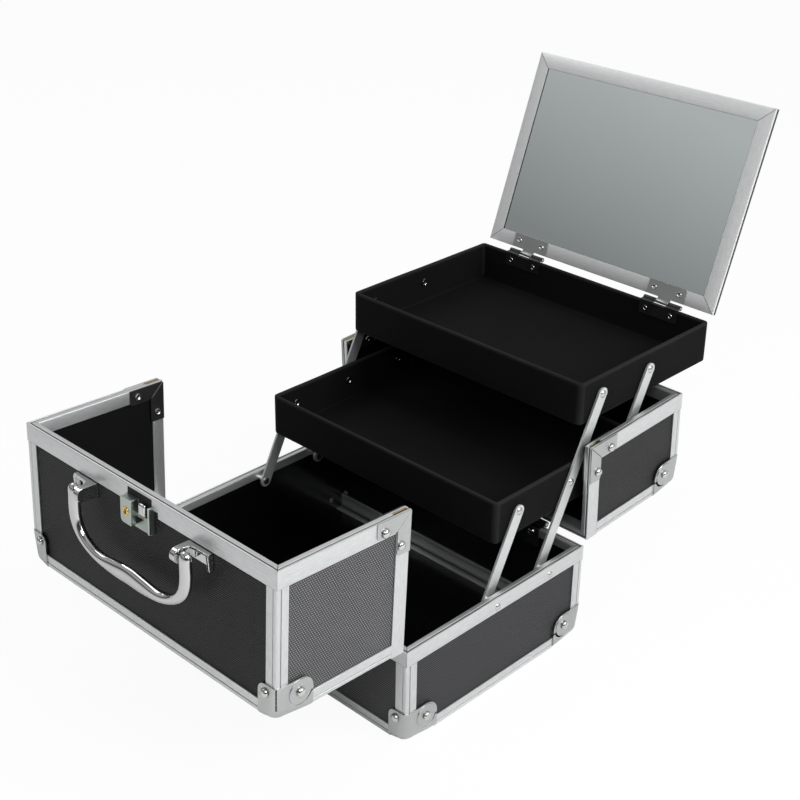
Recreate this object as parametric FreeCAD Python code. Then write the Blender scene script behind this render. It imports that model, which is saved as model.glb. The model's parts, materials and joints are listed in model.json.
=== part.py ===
import FreeCAD, Part
import math
import os

# A hard makeup case, standing open. Black panels are held in an aluminium edge frame with riveted
# ball corners. The upper half is split into a front and a rear lid, each on two hinges at the base's
# rim. Two lined trays ride on flat swing arms, and a framed mirror is hinged to the upper tray.
# X is the width, Y runs from front to back and Z is up. The case is drawn with the lids closed, and
# each lid is then turned open about its hinge pin.

V = FreeCAD.Vector

# Whole case
case_width = 240.0
case_depth = 175.0
base_height = 72.0
lid_height = 104.5
front_lid_share = 0.577
parting_gap = 0.6
lid_open_angle = 87.5

# Walls: trim outside, panel, lining, and the rim's inner flange
trim_thick = 1.0
panel_thick = 3.0
lining_thick = 0.8
rim_inner_thick = 0.8

# Edge extrusions
post_flange = 9.5
bottom_flange = 8.5
edge_flange = 9.0
base_rim_flange = 11.0
lid_rim_flange = 11.0
split_rim_flange = 12.5
rim_inner_flange = 6.5
bead_radius = 2.4
groove_depth = 0.3
groove_width = 0.7
groove_shares = (0.30, 0.62)
mitre_gap = 0.06

# Ball corners
ball_thick = 1.0
ball_across = 15.5
ball_along = 29.0
ball_up = 24.3
ball_tip_round = 9.0
ball_end_round = 4.2
ball_lobe_radius = 10.0
ball_tab_radius = 5.6
ball_disc_radius = 8.4
ball_disc_rise = 0.5
ball_slit_width = 0.9
ball_slit_start = 8.0
ball_gap_along = 1.0
ball_gap_drop = 0.7
ball_gap_wide = 1.2
ball_clear = 0.06
ball_side_rivet_along = 18.6
ball_side_rivet_up = 15.4
ball_face_rivet_across = 9.4
ball_face_rivet_up = 18.6
ball_under_rivet_along = 22.5

# Corner brackets of the lids
bracket_leg = 28.0
bracket_width = 11.0
bracket_thick = 0.8
bracket_rivet_across = 8.0
bracket_rivet_along = 21.5

# Rivets and screws
rivet_head_radius = 2.7
rivet_head_height = 1.2
rivet_shank_radius = 1.3
rivet_clear = 0.05
screw_head_radius = 1.9
screw_head_height = 0.8
screw_shank_radius = 0.9
screw_length = 2.0

# Lid hinges
hinge_place = 70.0
hinge_length = 30.0
hinge_mid_length = 10.0
hinge_side_gap = 0.3
hinge_offset = 2.8
hinge_knuckle_radius = 2.2
hinge_pin_radius = 0.9
pin_clear = 0.04
hinge_leaf_thick = 0.8
hinge_strap_thick = 1.0
hinge_leaf_height = 14.0
hinge_rivet_across = 9.0
hinge_rivet_drop = 3.6
hinge_rivet_grip = 3.0
notch_clear = 0.1

# Trays
tray_side_room = 6.3
tray_end_room = 28.3
tray_height = 31.4
tray_wall = 2.6
tray_floor = 2.6
tray_edge_radius = 1.0
tray_pivot_back = 20.5
tray_pivot_drop = 12.8

# Swing arms
arm_pitch_share = 0.3634
arm_spacing_share = 0.3057
arm_place_share = -0.0103
arm_open_angle = 63.2
arm_width = 9.0
arm_thick = 1.6
arm_pivot_drop = 7.2
washer_thick = 0.8
washer_radius = 3.4
arm_play = 0.1
pivot_radius = 1.6
pivot_clear = 0.05
pivot_inner_head = 0.5
spacer_radius = 3.6

# Mirror
mirror_side_inset = 1.35
mirror_overhang = 4.8
mirror_lean_angle = 69.4
mirror_strip = 11.0
mirror_thick = 5.0
mirror_lip = 0.8
mirror_slot_depth = 7.0
mirror_glass_thick = 2.0
mirror_backing_thick = 1.4
mirror_fit = 0.1
mirror_hinge_place = 65.3
mirror_leaf_width = 32.8
mirror_leaf_height = 11.2
mirror_leaf_thick = 0.8
mirror_leaf_start = 0.5
mirror_knuckle_radius = 1.7
mirror_pin_radius = 0.8
mirror_mid_length = 11.0
mirror_pin_back = 2.5
mirror_pin_rise = 0.6
mirror_edge_off = 3.0
mirror_face_off = 1.2
mirror_screw_across = 11.1
mirror_screw_up = 6.0
tray_leaf_height = 10.0
tray_screw_drop = 5.2

# Handle
handle_span = 104.0
handle_reach = 35.5
handle_grip_width = 12.2
handle_depth = 6.5
handle_eye_radius = 4.4
handle_eye_length = 10.4
handle_pin_radius = 1.5
handle_stand_off = 10.5
handle_x_shares = (1.0, 1.004, 0.99, 0.942, 0.846, 0.69, 0.5, 0.25, 0.0)
handle_y_shares = (0.06, 0.26, 0.46, 0.64, 0.80, 0.925, 0.99, 0.995, 0.975)
handle_width_shares = (0.73, 0.74, 0.72, 0.65, 0.57, 0.56, 0.66, 0.9, 1.0)
saddle_width = 22.0
saddle_length = 13.0
saddle_slot = 11.2
saddle_floor = 2.4
saddle_nose_radius = 6.4
saddle_wall = 1.5
saddle_gap = 0.6

# Lock on the front lid
lock_width = 28.0
lock_length = 25.0
lock_height = 4.0
lock_edge_gap = 0.5
lock_corner_radius = 3.5
recess_left = -1.0
recess_right = 12.2
recess_length = 19.5
recess_floor = 0.8
key_radius = 3.4
key_rise = 0.7
key_depth = 2.4
key_clear = 0.06
key_place = -8.0
key_back = 14.0
key_slot_width = 0.8
key_slot_length = 4.0
key_slot_depth = 0.6
pawl_left = 0.3
pawl_width = 6.0
pawl_length = 8.0
pawl_back = 6.0
pawl_height = 2.6
pawl_lift = 0.15
pawl_round = 1.4
stop_slot_width = 6.0
stop_slot_length = 3.0
stop_slot_depth = 2.0

# Hasp on the rear lid
hasp_left = 0.3
hasp_width = 10.6
hasp_length = 25.0
hasp_thick = 1.2
hasp_base_side = 4.6
hasp_base_length = 10.5
hasp_base_thick = 1.0
hasp_knuckle_radius = 1.7
hasp_pin_radius = 0.8
hasp_pin_rise = 1.9
hasp_side_gap = 0.25

overrun = 40.0

# Worked-out places
half_w = case_width / 2
half_d = case_depth / 2
rim_z = base_height
lid_z0 = rim_z + parting_gap
lid_z1 = lid_z0 + lid_height
front_lid_depth = front_lid_share * case_depth
rear_lid_depth = case_depth - parting_gap - front_lid_depth
panel_out = trim_thick
panel_in = trim_thick + panel_thick
lining_in = panel_in + lining_thick
rim_wide = lining_in + rim_inner_thick
tray_width = 2 * (half_w - rim_wide - tray_side_room)
tray_depth = case_depth - tray_end_room
arm_pitch = arm_pitch_share * case_depth
arm_spacing = arm_spacing_share * case_depth
mirror_width = tray_width - 2 * mirror_side_inset
mirror_length = tray_depth + mirror_overhang
pin_y = half_d + hinge_offset
pin_z = rim_z + parting_gap / 2

nodes = {}


def box(x0, x1, y0, y1, z0, z1):
    return Part.makeBox(x1 - x0, y1 - y0, z1 - z0, V(x0, y0, z0))


def rod(centre, direction, radius, length):
    return Part.makeCylinder(radius, length, centre, direction)


def group(shapes):
    return Part.makeCompound(shapes)


def swap_x(shape):
    return shape.mirror(V(0, 0, 0), V(1, 0, 0))


def swap_y(shape):
    return shape.mirror(V(0, 0, 0), V(0, 1, 0))


def pair(shape):
    return [shape, swap_x(shape)]


def moved(shape, offset):
    copy = shape.copy()
    copy.translate(offset)
    return copy


def turned(shape, centre, axis, angle):
    copy = shape.copy()
    copy.rotate(centre, axis, angle)
    return copy


def joined(shapes):
    whole = shapes[0]
    for shape in shapes[1:]:
        whole = whole.fuse(shape)
    return whole.removeSplitter()


def extrude_section(edges, run):
    return Part.Face(Part.Wire(edges)).extrude(run)


def outline(points):
    ring = list(points) + [points[0]]
    return [Part.LineSegment(a, b).toShape() for a, b in zip(ring, ring[1:])]


def beyond(point, normal):
    # A large block that fills the far side of a plane.
    block = Part.makeBox(overrun, overrun, overrun, V(-overrun / 2, -overrun / 2, 0))
    block.Placement = FreeCAD.Placement(point, FreeCAD.Rotation(V(0, 0, 1), normal))
    return block


def mitred(shape, point, normal):
    n = V(normal)
    n.normalize()
    return shape.cut(beyond(point - n * (mitre_gap / 2), n))


def grooves(flange):
    # Groove edges along a flange, as distances from its outer edge.
    spots = []
    for share in groove_shares:
        middle = share * flange
        spots.append((middle - groove_width / 2, middle + groove_width / 2))
    return spots


def channel(origin, inward, down, run, flange):
    # A rim extrusion: grooved outer flange, flat top and a shorter inner flange.
    pts = [(0, 0), (rim_wide, 0), (rim_wide, rim_inner_flange)]
    pts += [(lining_in, rim_inner_flange), (lining_in, trim_thick), (trim_thick, trim_thick)]
    pts += [(trim_thick, flange), (0, flange)]
    for low, high in reversed(grooves(flange)):
        pts += [(0, high), (groove_depth, high), (groove_depth, low), (0, low)]
    return extrude_section(outline([origin + inward * a + down * b for a, b in pts]), run)


def angle_trim(origin, first, second, run, reach_a, reach_b):
    # An edge extrusion: two flanges and a rounded outer bead.
    soft = bead_radius * (1 - math.sqrt(2) / 2)

    def at(a, b):
        return origin + first * a + second * b

    pts = [(bead_radius, 0), (reach_a, 0), (reach_a, trim_thick), (trim_thick, trim_thick)]
    pts += [(trim_thick, reach_b), (0, reach_b), (0, bead_radius)]
    places = [at(a, b) for a, b in pts]
    edges = [Part.LineSegment(a, b).toShape() for a, b in zip(places, places[1:])]
    edges.append(Part.Arc(places[-1], at(soft, soft), places[0]).toShape())
    return extrude_section(edges, run)


def dome(radius, height):
    # A low dome on the XY plane, as on a rivet's head.
    ball = (radius * radius + height * height) / (2 * height)
    cap = Part.makeSphere(ball, V(0, 0, height - ball))
    return cap.common(Part.makeCylinder(radius, height))


def pointed(shape, place, direction):
    copy = shape.copy()
    copy.Placement = FreeCAD.Placement(place, FreeCAD.Rotation(V(0, 0, 1), direction))
    return copy


def stud(place, direction, head_radius, head_height, shank_radius, grip):
    # A domed head on a plain shank that goes down from the place, against the direction.
    body = dome(head_radius, head_height).fuse(rod(V(0, 0, -grip), V(0, 0, 1), shank_radius, grip))
    return pointed(body.removeSplitter(), place, direction)


def drill(names, place, direction, radius, grip):
    tool = rod(place - direction * grip, direction, radius, grip + ball_thick)
    for name in names:
        nodes[name] = nodes[name].cut(tool)


def soft_block(less):
    # A block the size of a ball corner, with its corner at the origin. The three edges that meet there
    # are rounded, most at the tip, and less is how far the rounding lies inside the cap's outer face.
    block = Part.makeBox(ball_across, ball_along, ball_up)
    near = [e for e in block.Edges if (e.Vertexes[0].Point.Length * e.Vertexes[1].Point.Length) == 0]
    return block.makeFillet(ball_tip_round - less, ball_end_round - less, near)


def ball_corner(slit):
    # A pressed corner cap: a wide lobe on the case's side and two narrow tabs, with a raised disc
    # round the side rivet and a gap below the disc that opens at the lobe's end. The lids' caps are
    # slit along the edge that stands upright when they are open.
    t = ball_thick
    cap = soft_block(0).cut(moved(soft_block(t), V(t, t, t)))

    def trim_tip(edge, u, v, radius):
        spare = box(u - radius, u, v - radius, v, 0, t)
        spare = spare.cut(rod(V(u - radius, v - radius, 0), V(0, 0, 1), radius, t))
        spare.rotate(V(0, 0, 0), V(1, 1, 1), edge)
        return cap.cut(spare)

    cap = trim_tip(120, ball_along, ball_up, ball_lobe_radius)
    cap = trim_tip(240, ball_up, ball_across, ball_tab_radius)
    cap = trim_tip(0, ball_across, ball_along, ball_tab_radius)
    disc_deep = ball_disc_rise + t / 2
    disc_place = V(-ball_disc_rise, ball_side_rivet_along, ball_side_rivet_up)
    disc = rod(disc_place, V(1, 0, 0), ball_disc_radius, disc_deep)
    cap = cap.fuse(disc).removeSplitter()
    gap_deep = disc_deep + t
    gap_place = disc_place + V(0, ball_gap_along, -ball_gap_drop)
    gap = rod(gap_place, V(1, 0, 0), ball_disc_radius + ball_gap_wide / 6, gap_deep)
    gap_top = ball_side_rivet_up - ball_disc_radius / 3
    gap = gap.common(box(-t, 2 * t, ball_along / 2, ball_along, 0, gap_top))
    gap = gap.fuse(box(-t, 2 * t, ball_along - ball_disc_radius / 2, ball_along, gap_top - ball_gap_wide, gap_top))
    cap = cap.cut(gap.cut(rod(disc_place, V(1, 0, 0), ball_disc_radius, gap_deep)))
    if slit:
        cut = Part.makeBox(ball_tip_round, ball_slit_width, ball_up, V(0, -ball_slit_width / 2, ball_slit_start))
        cut.rotate(V(0, 0, 0), V(0, 0, 1), 45)
        cap = cap.cut(cut)
    return cap


def corner_waste():
    # What a panel or trim loses under a ball corner, outer corner of the wall at the origin.
    x, y, z = [leg - ball_thick + ball_clear for leg in (ball_across, ball_along, ball_up)]
    return Part.makeBox(x, y, z).cut(soft_block(ball_thick - ball_clear))


def swap_yz(shape):
    return shape.mirror(V(0, 0, 0), V(0, 1, -1))


def at_corner(shape, corner, inward):
    # Puts a shape drawn for inward +X +Y +Z on a corner with these inward signs.
    for sign, axis in zip(inward, (V(1, 0, 0), V(0, 1, 0), V(0, 0, 1))):
        if sign < 0:
            shape = shape.mirror(V(0, 0, 0), axis)
    return moved(shape, corner)


base_cap = ball_corner(False)
lid_cap = swap_yz(ball_corner(True))
base_waste = corner_waste()
lid_waste = swap_yz(base_waste)


def make_base():
    names = ("base_bottom_panel", "base_front_panel", "base_rear_panel", "base_side_panels")
    x_out, x_in = half_w - panel_out, half_w - panel_in
    y_out, y_in = half_d - panel_out, half_d - panel_in
    top = rim_z - trim_thick
    x_lin, y_lin = half_w - lining_in, half_d - lining_in
    nodes["base_bottom_panel"] = box(-x_out, x_out, -y_out, y_out, panel_out, panel_in)
    front = box(-x_out, x_out, -y_out, -y_in, panel_in, top)
    nodes["base_front_panel"] = front
    nodes["base_rear_panel"] = swap_y(front)
    nodes["base_side_panels"] = group(pair(box(x_in, x_out, -y_in, y_in, panel_in, top)))
    floor = box(-x_in, x_in, -y_in, y_in, panel_in, lining_in)
    front_cloth = box(-x_in, x_in, -y_in, -y_lin, lining_in, top)
    side_cloth = box(x_lin, x_in, -y_lin, y_lin, lining_in, top)
    nodes["base_lining"] = group([floor, front_cloth, swap_y(front_cloth)] + pair(side_cloth))

    front_rim = channel(V(-half_w, -half_d, rim_z), V(0, 1, 0), V(0, 0, -1), V(case_width, 0, 0), base_rim_flange)
    front_rim = mitred(front_rim, V(half_w, -half_d, rim_z), V(1, 1, 0))
    front_rim = mitred(front_rim, V(-half_w, -half_d, rim_z), V(-1, 1, 0))
    side_rim = channel(V(half_w, -half_d, rim_z), V(-1, 0, 0), V(0, 0, -1), V(0, case_depth, 0), base_rim_flange)
    side_rim = mitred(side_rim, V(half_w, -half_d, rim_z), V(-1, -1, 0))
    side_rim = mitred(side_rim, V(half_w, half_d, rim_z), V(-1, 1, 0))
    nodes["base_rim_trims"] = group([front_rim, swap_y(front_rim)] + pair(side_rim))

    post_run = rim_z - base_rim_flange - mitre_gap - bottom_flange
    post = angle_trim(V(half_w, -half_d, bottom_flange), V(-1, 0, 0), V(0, 1, 0), V(0, 0, post_run),
                      post_flange, post_flange)
    posts = pair(post)
    nodes["base_corner_posts"] = group(posts + [swap_y(p) for p in posts])
    names += ("base_corner_posts",)

    long_trim = angle_trim(V(-half_w, -half_d, 0), V(0, 1, 0), V(0, 0, 1), V(case_width, 0, 0),
                           bottom_flange, bottom_flange)
    run = case_depth - 2 * bottom_flange
    cross_trim = angle_trim(V(half_w, -run / 2, 0), V(-1, 0, 0), V(0, 0, 1), V(0, run, 0),
                            bottom_flange, bottom_flange)
    seat_x = ball_across - ball_thick + ball_clear
    seat_y = ball_along - ball_thick + ball_clear
    corners = []
    rivets = []
    trims = [long_trim, swap_y(long_trim)] + pair(cross_trim)
    for sx in (-1, 1):
        for sy in (-1, 1):
            inward = (-sx, -sy, 1)
            out = V(sx * (half_w + ball_thick), sy * (half_d + ball_thick), 0)
            corners.append(at_corner(base_cap, out, inward))
            waste = at_corner(base_waste, V(sx * half_w, sy * half_d, trim_thick), inward)
            pad = at_corner(Part.makeBox(seat_x, seat_y, trim_thick), V(sx * half_w, sy * half_d, 0), inward)
            trims = [t.cut(waste).cut(pad) for t in trims]
            for name in names:
                nodes[name] = nodes[name].cut(waste)
            rivets.append((out, inward))
    nodes["base_bottom_trims"] = group(trims)
    nodes["base_ball_corners"] = group(corners)
    heads = []
    covered = names + ("base_bottom_trims", "base_ball_corners")
    for out, inward in rivets:
        side = V(out.x - inward[0] * ball_disc_rise, out.y + inward[1] * ball_side_rivet_along,
                 out.z + ball_side_rivet_up)
        face = V(out.x + inward[0] * ball_face_rivet_across, out.y, out.z + ball_face_rivet_up)
        for place, normal in ((side, V(-inward[0], 0, 0)), (face, V(0, -inward[1], 0))):
            grip = ball_thick + trim_thick + panel_thick / 2
            heads.append(stud(place, normal, rivet_head_radius, rivet_head_height, rivet_shank_radius, grip))
            drill(covered, place, normal, rivet_shank_radius + rivet_clear, grip)
    nodes["base_rivets"] = group(heads)


def make_lid(prefix, wall, depth):
    # One lid, drawn closed over the front of the base.
    y0, y1 = -half_d, -half_d + depth
    x_out, x_in, x_lin = half_w - panel_out, half_w - panel_in, half_w - lining_in
    low = lid_z0 + trim_thick
    end = y1 - trim_thick
    top = prefix + "_top_panel"
    face = prefix + "_" + wall + "_panel"
    sides = prefix + "_side_panels"
    made = {}
    made[top] = box(-x_out, x_out, y0 + panel_out, end, lid_z1 - panel_in, lid_z1 - panel_out)
    made[face] = box(-x_out, x_out, y0 + panel_out, y0 + panel_in, low, lid_z1 - panel_in)
    made[sides] = group(pair(box(x_in, x_out, y0 + panel_in, end, low, lid_z1 - panel_in)))
    cloth = [box(-x_in, x_in, y0 + panel_in, end, lid_z1 - lining_in, lid_z1 - panel_in)]
    cloth.append(box(-x_in, x_in, y0 + panel_in, y0 + lining_in, low, lid_z1 - lining_in))
    cloth += pair(box(x_lin, x_in, y0 + lining_in, end, low, lid_z1 - lining_in))
    made[prefix + "_lining"] = group(cloth)

    front = channel(V(-half_w, y0, lid_z0), V(0, 1, 0), V(0, 0, 1), V(case_width, 0, 0), lid_rim_flange)
    front = mitred(front, V(half_w, y0, lid_z0), V(1, 1, 0))
    front = mitred(front, V(-half_w, y0, lid_z0), V(-1, 1, 0))
    side = channel(V(half_w, y0, lid_z0), V(-1, 0, 0), V(0, 0, 1), V(0, depth, 0), lid_rim_flange)
    side = mitred(side, V(half_w, y0, lid_z0), V(-1, -1, 0))
    side = mitred(side, V(half_w, y1, lid_z0), V(0, 1, 1))
    split = channel(V(half_w, y1, lid_z0), V(-1, 0, 0), V(0, -1, 0), V(0, 0, lid_height), split_rim_flange)
    split = mitred(split, V(half_w, y1, lid_z0), V(0, -1, -1))
    split = mitred(split, V(half_w, y1, lid_z1), V(-1, 0, 1))
    bar = channel(V(-half_w, y1, lid_z1), V(0, 0, -1), V(0, -1, 0), V(case_width, 0, 0), split_rim_flange)
    bar = mitred(bar, V(half_w, y1, lid_z1), V(1, 0, -1))
    bar = mitred(bar, V(-half_w, y1, lid_z1), V(-1, 0, -1))
    rims = [front, bar] + pair(side) + pair(split)

    edge = angle_trim(V(-half_w, y0, lid_z1), V(0, 1, 0), V(0, 0, -1), V(case_width, 0, 0),
                      edge_flange, edge_flange)
    run = depth - edge_flange - split_rim_flange - mitre_gap
    ridge = angle_trim(V(half_w, y0 + edge_flange, lid_z1), V(-1, 0, 0), V(0, 0, -1), V(0, run, 0),
                       edge_flange, edge_flange)
    rise = lid_height - lid_rim_flange - edge_flange - mitre_gap
    post = angle_trim(V(half_w, y0, lid_z0 + lid_rim_flange + mitre_gap), V(-1, 0, 0), V(0, 1, 0),
                      V(0, 0, rise), edge_flange, edge_flange)
    trims = [edge] + pair(ridge) + pair(post)

    caps = []
    studs = []
    for sx in (-1, 1):
        inward = (-sx, 1, -1)
        out = V(sx * (half_w + ball_thick), y0 - ball_thick, lid_z1 + ball_thick)
        caps.append(at_corner(lid_cap, out, inward))
        waste = at_corner(lid_waste, V(sx * half_w, y0, lid_z1), inward)
        trims = [t.cut(waste) for t in trims]
        for name in (top, face, sides):
            made[name] = made[name].cut(waste)
        grip = ball_thick + trim_thick + panel_thick / 2
        x_face = out.x - sx * ball_face_rivet_across
        studs.append((V(out.x + sx * ball_disc_rise, out.y + ball_side_rivet_up, out.z - ball_side_rivet_along),
                      V(sx, 0, 0), grip))
        studs.append((V(x_face, out.y, out.z - ball_under_rivet_along), V(0, -1, 0), grip))
        studs.append((V(x_face, out.y + ball_face_rivet_up, out.z), V(0, 0, 1), grip))

    leg = box(half_w, half_w + bracket_thick, y1 - bracket_leg, y1, lid_z0, lid_z0 + bracket_width)
    arm = box(half_w, half_w + bracket_thick, y1 - bracket_width, y1, lid_z0, lid_z0 + bracket_leg)
    brackets = pair(joined([leg, arm]))
    for sx in (-1, 1):
        grip = bracket_thick + trim_thick + panel_thick / 2
        x = sx * (half_w + bracket_thick)
        studs.append((V(x, y1 - bracket_rivet_along, lid_z0 + bracket_rivet_across), V(sx, 0, 0), grip))
        studs.append((V(x, y1 - bracket_rivet_across, lid_z0 + bracket_rivet_along), V(sx, 0, 0), grip))

    made[prefix + "_rim_trims"] = group(rims)
    made[prefix + "_edge_trims"] = group(trims)
    made[prefix + "_ball_corners"] = group(caps)
    made[prefix + "_corner_brackets"] = group(brackets)
    for name, shape in made.items():
        nodes[name] = shape
    heads = []
    for place, normal, grip in studs:
        heads.append(stud(place, normal, rivet_head_radius, rivet_head_height, rivet_shank_radius, grip))
        drill(list(made), place, normal, rivet_shank_radius + rivet_clear, grip)
    nodes[prefix + "_rivets"] = group(heads)
    made[prefix + "_rivets"] = nodes[prefix + "_rivets"]
    return list(made)


def hinge_knuckle(x0, x1):
    return rod(V(x0, -pin_y, pin_z), V(1, 0, 0), hinge_knuckle_radius, x1 - x0)


def hinge_leaves(middle):
    # The two leaves of one hinge at the front of the case: a plate inside the rim, a strap let into
    # the rim and the knuckles outside it.
    half = hinge_length / 2
    mid = hinge_mid_length / 2
    y_in = -half_d + rim_wide
    spans = [(middle - half, middle - mid - hinge_side_gap), (middle + mid + hinge_side_gap, middle + half)]
    bore = rod(V(middle - half, -pin_y, pin_z), V(1, 0, 0), hinge_pin_radius + pin_clear, hinge_length)
    plate = box(middle - half, middle + half, y_in, y_in + hinge_leaf_thick, rim_z - hinge_leaf_height, rim_z)
    low = [plate]
    for x0, x1 in spans:
        low.append(box(x0, x1, -pin_y, y_in + hinge_leaf_thick, rim_z - hinge_strap_thick, rim_z))
        low.append(hinge_knuckle(x0, x1))
    plate = box(middle - half, middle + half, y_in, y_in + hinge_leaf_thick, lid_z0, lid_z0 + hinge_leaf_height)
    high = [plate]
    high.append(box(middle - mid, middle + mid, -pin_y, y_in + hinge_leaf_thick, lid_z0,
                    lid_z0 + hinge_strap_thick))
    high.append(hinge_knuckle(middle - mid, middle + mid))
    low_cuts = [box(x0 - notch_clear, x1 + notch_clear, -half_d - overrun, y_in, rim_z - hinge_strap_thick,
                    rim_z + overrun) for x0, x1 in spans]
    high_cut = box(middle - mid - notch_clear, middle + mid + notch_clear, -half_d - overrun, y_in,
                   lid_z0 - overrun, lid_z0 + hinge_strap_thick)
    return joined(low).cut(bore), joined(high).cut(bore), low_cuts, high_cut


def make_hinges():
    base_leaves, front_leaves, rear_leaves, pins = [], [], [], []
    base_studs, front_studs, rear_studs = [], [], []
    y_face = -half_d + rim_wide + hinge_leaf_thick
    for middle in (-hinge_place, hinge_place):
        low, high, low_cuts, high_cut = hinge_leaves(middle)
        base_leaves += [low, swap_y(low)]
        front_leaves.append(high)
        rear_leaves.append(swap_y(high))
        pin = rod(V(middle - hinge_length / 2, -pin_y, pin_z), V(1, 0, 0), hinge_pin_radius, hinge_length)
        pins += [pin, swap_y(pin)]
        for cut in low_cuts:
            nodes["base_rim_trims"] = nodes["base_rim_trims"].cut(cut).cut(swap_y(cut))
        nodes["front_lid_rim_trims"] = nodes["front_lid_rim_trims"].cut(high_cut)
        nodes["rear_lid_rim_trims"] = nodes["rear_lid_rim_trims"].cut(swap_y(high_cut))
        for side in (-1, 1):
            x = middle + side * hinge_rivet_across
            for z, studs in ((rim_z - hinge_rivet_drop, base_studs), (lid_z0 + hinge_rivet_drop, front_studs)):
                studs.append((V(x, y_face, z), V(0, 1, 0)))
            base_studs.append((V(x, -y_face, rim_z - hinge_rivet_drop), V(0, -1, 0)))
            rear_studs.append((V(x, -y_face, lid_z0 + hinge_rivet_drop), V(0, -1, 0)))
    nodes["base_hinge_leaves"] = group(base_leaves)
    nodes["front_lid_hinge_leaves"] = group(front_leaves)
    nodes["rear_lid_hinge_leaves"] = group(rear_leaves)
    nodes["lid_hinge_pins"] = group(pins)
    sets = (("base", base_studs, ("base_front_panel", "base_rear_panel", "base_lining")),
            ("front_lid", front_studs, ("front_lid_front_panel", "front_lid_lining")),
            ("rear_lid", rear_studs, ("rear_lid_rear_panel", "rear_lid_lining")))
    for prefix, studs, walls in sets:
        heads = list(nodes[prefix + "_rivets"].Solids)
        for place, normal in studs:
            heads.append(stud(place, normal, rivet_head_radius, rivet_head_height, rivet_shank_radius,
                              hinge_rivet_grip))
            drill(walls + (prefix + "_hinge_leaves", prefix + "_rim_trims"), place, normal,
                  rivet_shank_radius + rivet_clear, hinge_rivet_grip)
        nodes[prefix + "_rivets"] = group(heads)


def make_handle():
    # The bail and its two clevis saddles on the front lid's top panel, drawn with the lid closed.
    skin = lid_z1 - panel_out
    edge = -half_d + front_lid_depth - split_rim_flange - saddle_gap
    axis_y = edge - saddle_length / 2
    axis_z = skin + handle_stand_off
    half = handle_span / 2
    saddles, pins = [], []
    for sx in (-1, 1):
        x0 = sx * half - saddle_width / 2
        foot = [V(x0, edge - saddle_length, skin), V(x0, edge, skin)]
        nose = [V(x0, axis_y + saddle_nose_radius, axis_z), V(x0, axis_y - saddle_nose_radius, axis_z)]
        crown = V(x0, axis_y, axis_z + saddle_nose_radius)
        edges = [Part.LineSegment(foot[0], foot[1]).toShape(), Part.LineSegment(foot[1], nose[0]).toShape()]
        edges.append(Part.Arc(nose[0], crown, nose[1]).toShape())
        edges.append(Part.LineSegment(nose[1], foot[0]).toShape())
        body = extrude_section(edges, V(saddle_width, 0, 0))
        slot = box(sx * half - saddle_slot / 2, sx * half + saddle_slot / 2, axis_y - saddle_length,
                   axis_y + saddle_nose_radius - saddle_wall, skin + saddle_floor, axis_z + saddle_length)
        hole = rod(V(x0, axis_y, axis_z), V(1, 0, 0), handle_pin_radius + pin_clear, saddle_width)
        saddles.append(body.cut(slot).cut(hole))
        pins.append(rod(V(x0, axis_y, axis_z), V(1, 0, 0), handle_pin_radius, saddle_width))
    nodes["handle_saddles"] = group(saddles)
    nodes["handle_pins"] = group(pins)

    right = list(zip(handle_x_shares, handle_y_shares, handle_width_shares))
    left = [(-x, y, wide) for x, y, wide in reversed(right[:-1])]
    stations = [(x * half, y * handle_reach, wide * handle_grip_width) for x, y, wide in right + left]
    rings = []
    for i, (x, y, wide) in enumerate(stations):
        before = stations[max(i - 1, 0)]
        after = stations[min(i + 1, len(stations) - 1)]
        along = V(after[0] - before[0], before[1] - after[1], 0)
        along.normalize()
        across = V(-along.y, along.x, 0)
        centre = V(x, axis_y - y, axis_z)
        ring = Part.Ellipse(centre + across * (wide / 2), centre + V(0, 0, handle_depth / 2), centre)
        rings.append(Part.Wire([ring.toShape()]))
    grip = Part.makeLoft(rings, True)
    solids = [grip]
    for sx in (-1, 1):
        place = V(sx * half - handle_eye_length / 2, axis_y, axis_z)
        solids.append(rod(place, V(1, 0, 0), handle_eye_radius, handle_eye_length))
    bail = joined(solids)
    for sx in (-1, 1):
        place = V(sx * half - saddle_width / 2, axis_y, axis_z)
        bail = bail.cut(rod(place, V(1, 0, 0), handle_pin_radius + pin_clear, saddle_width))
    nodes["handle"] = bail
    return V(0, axis_y, axis_z)


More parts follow.
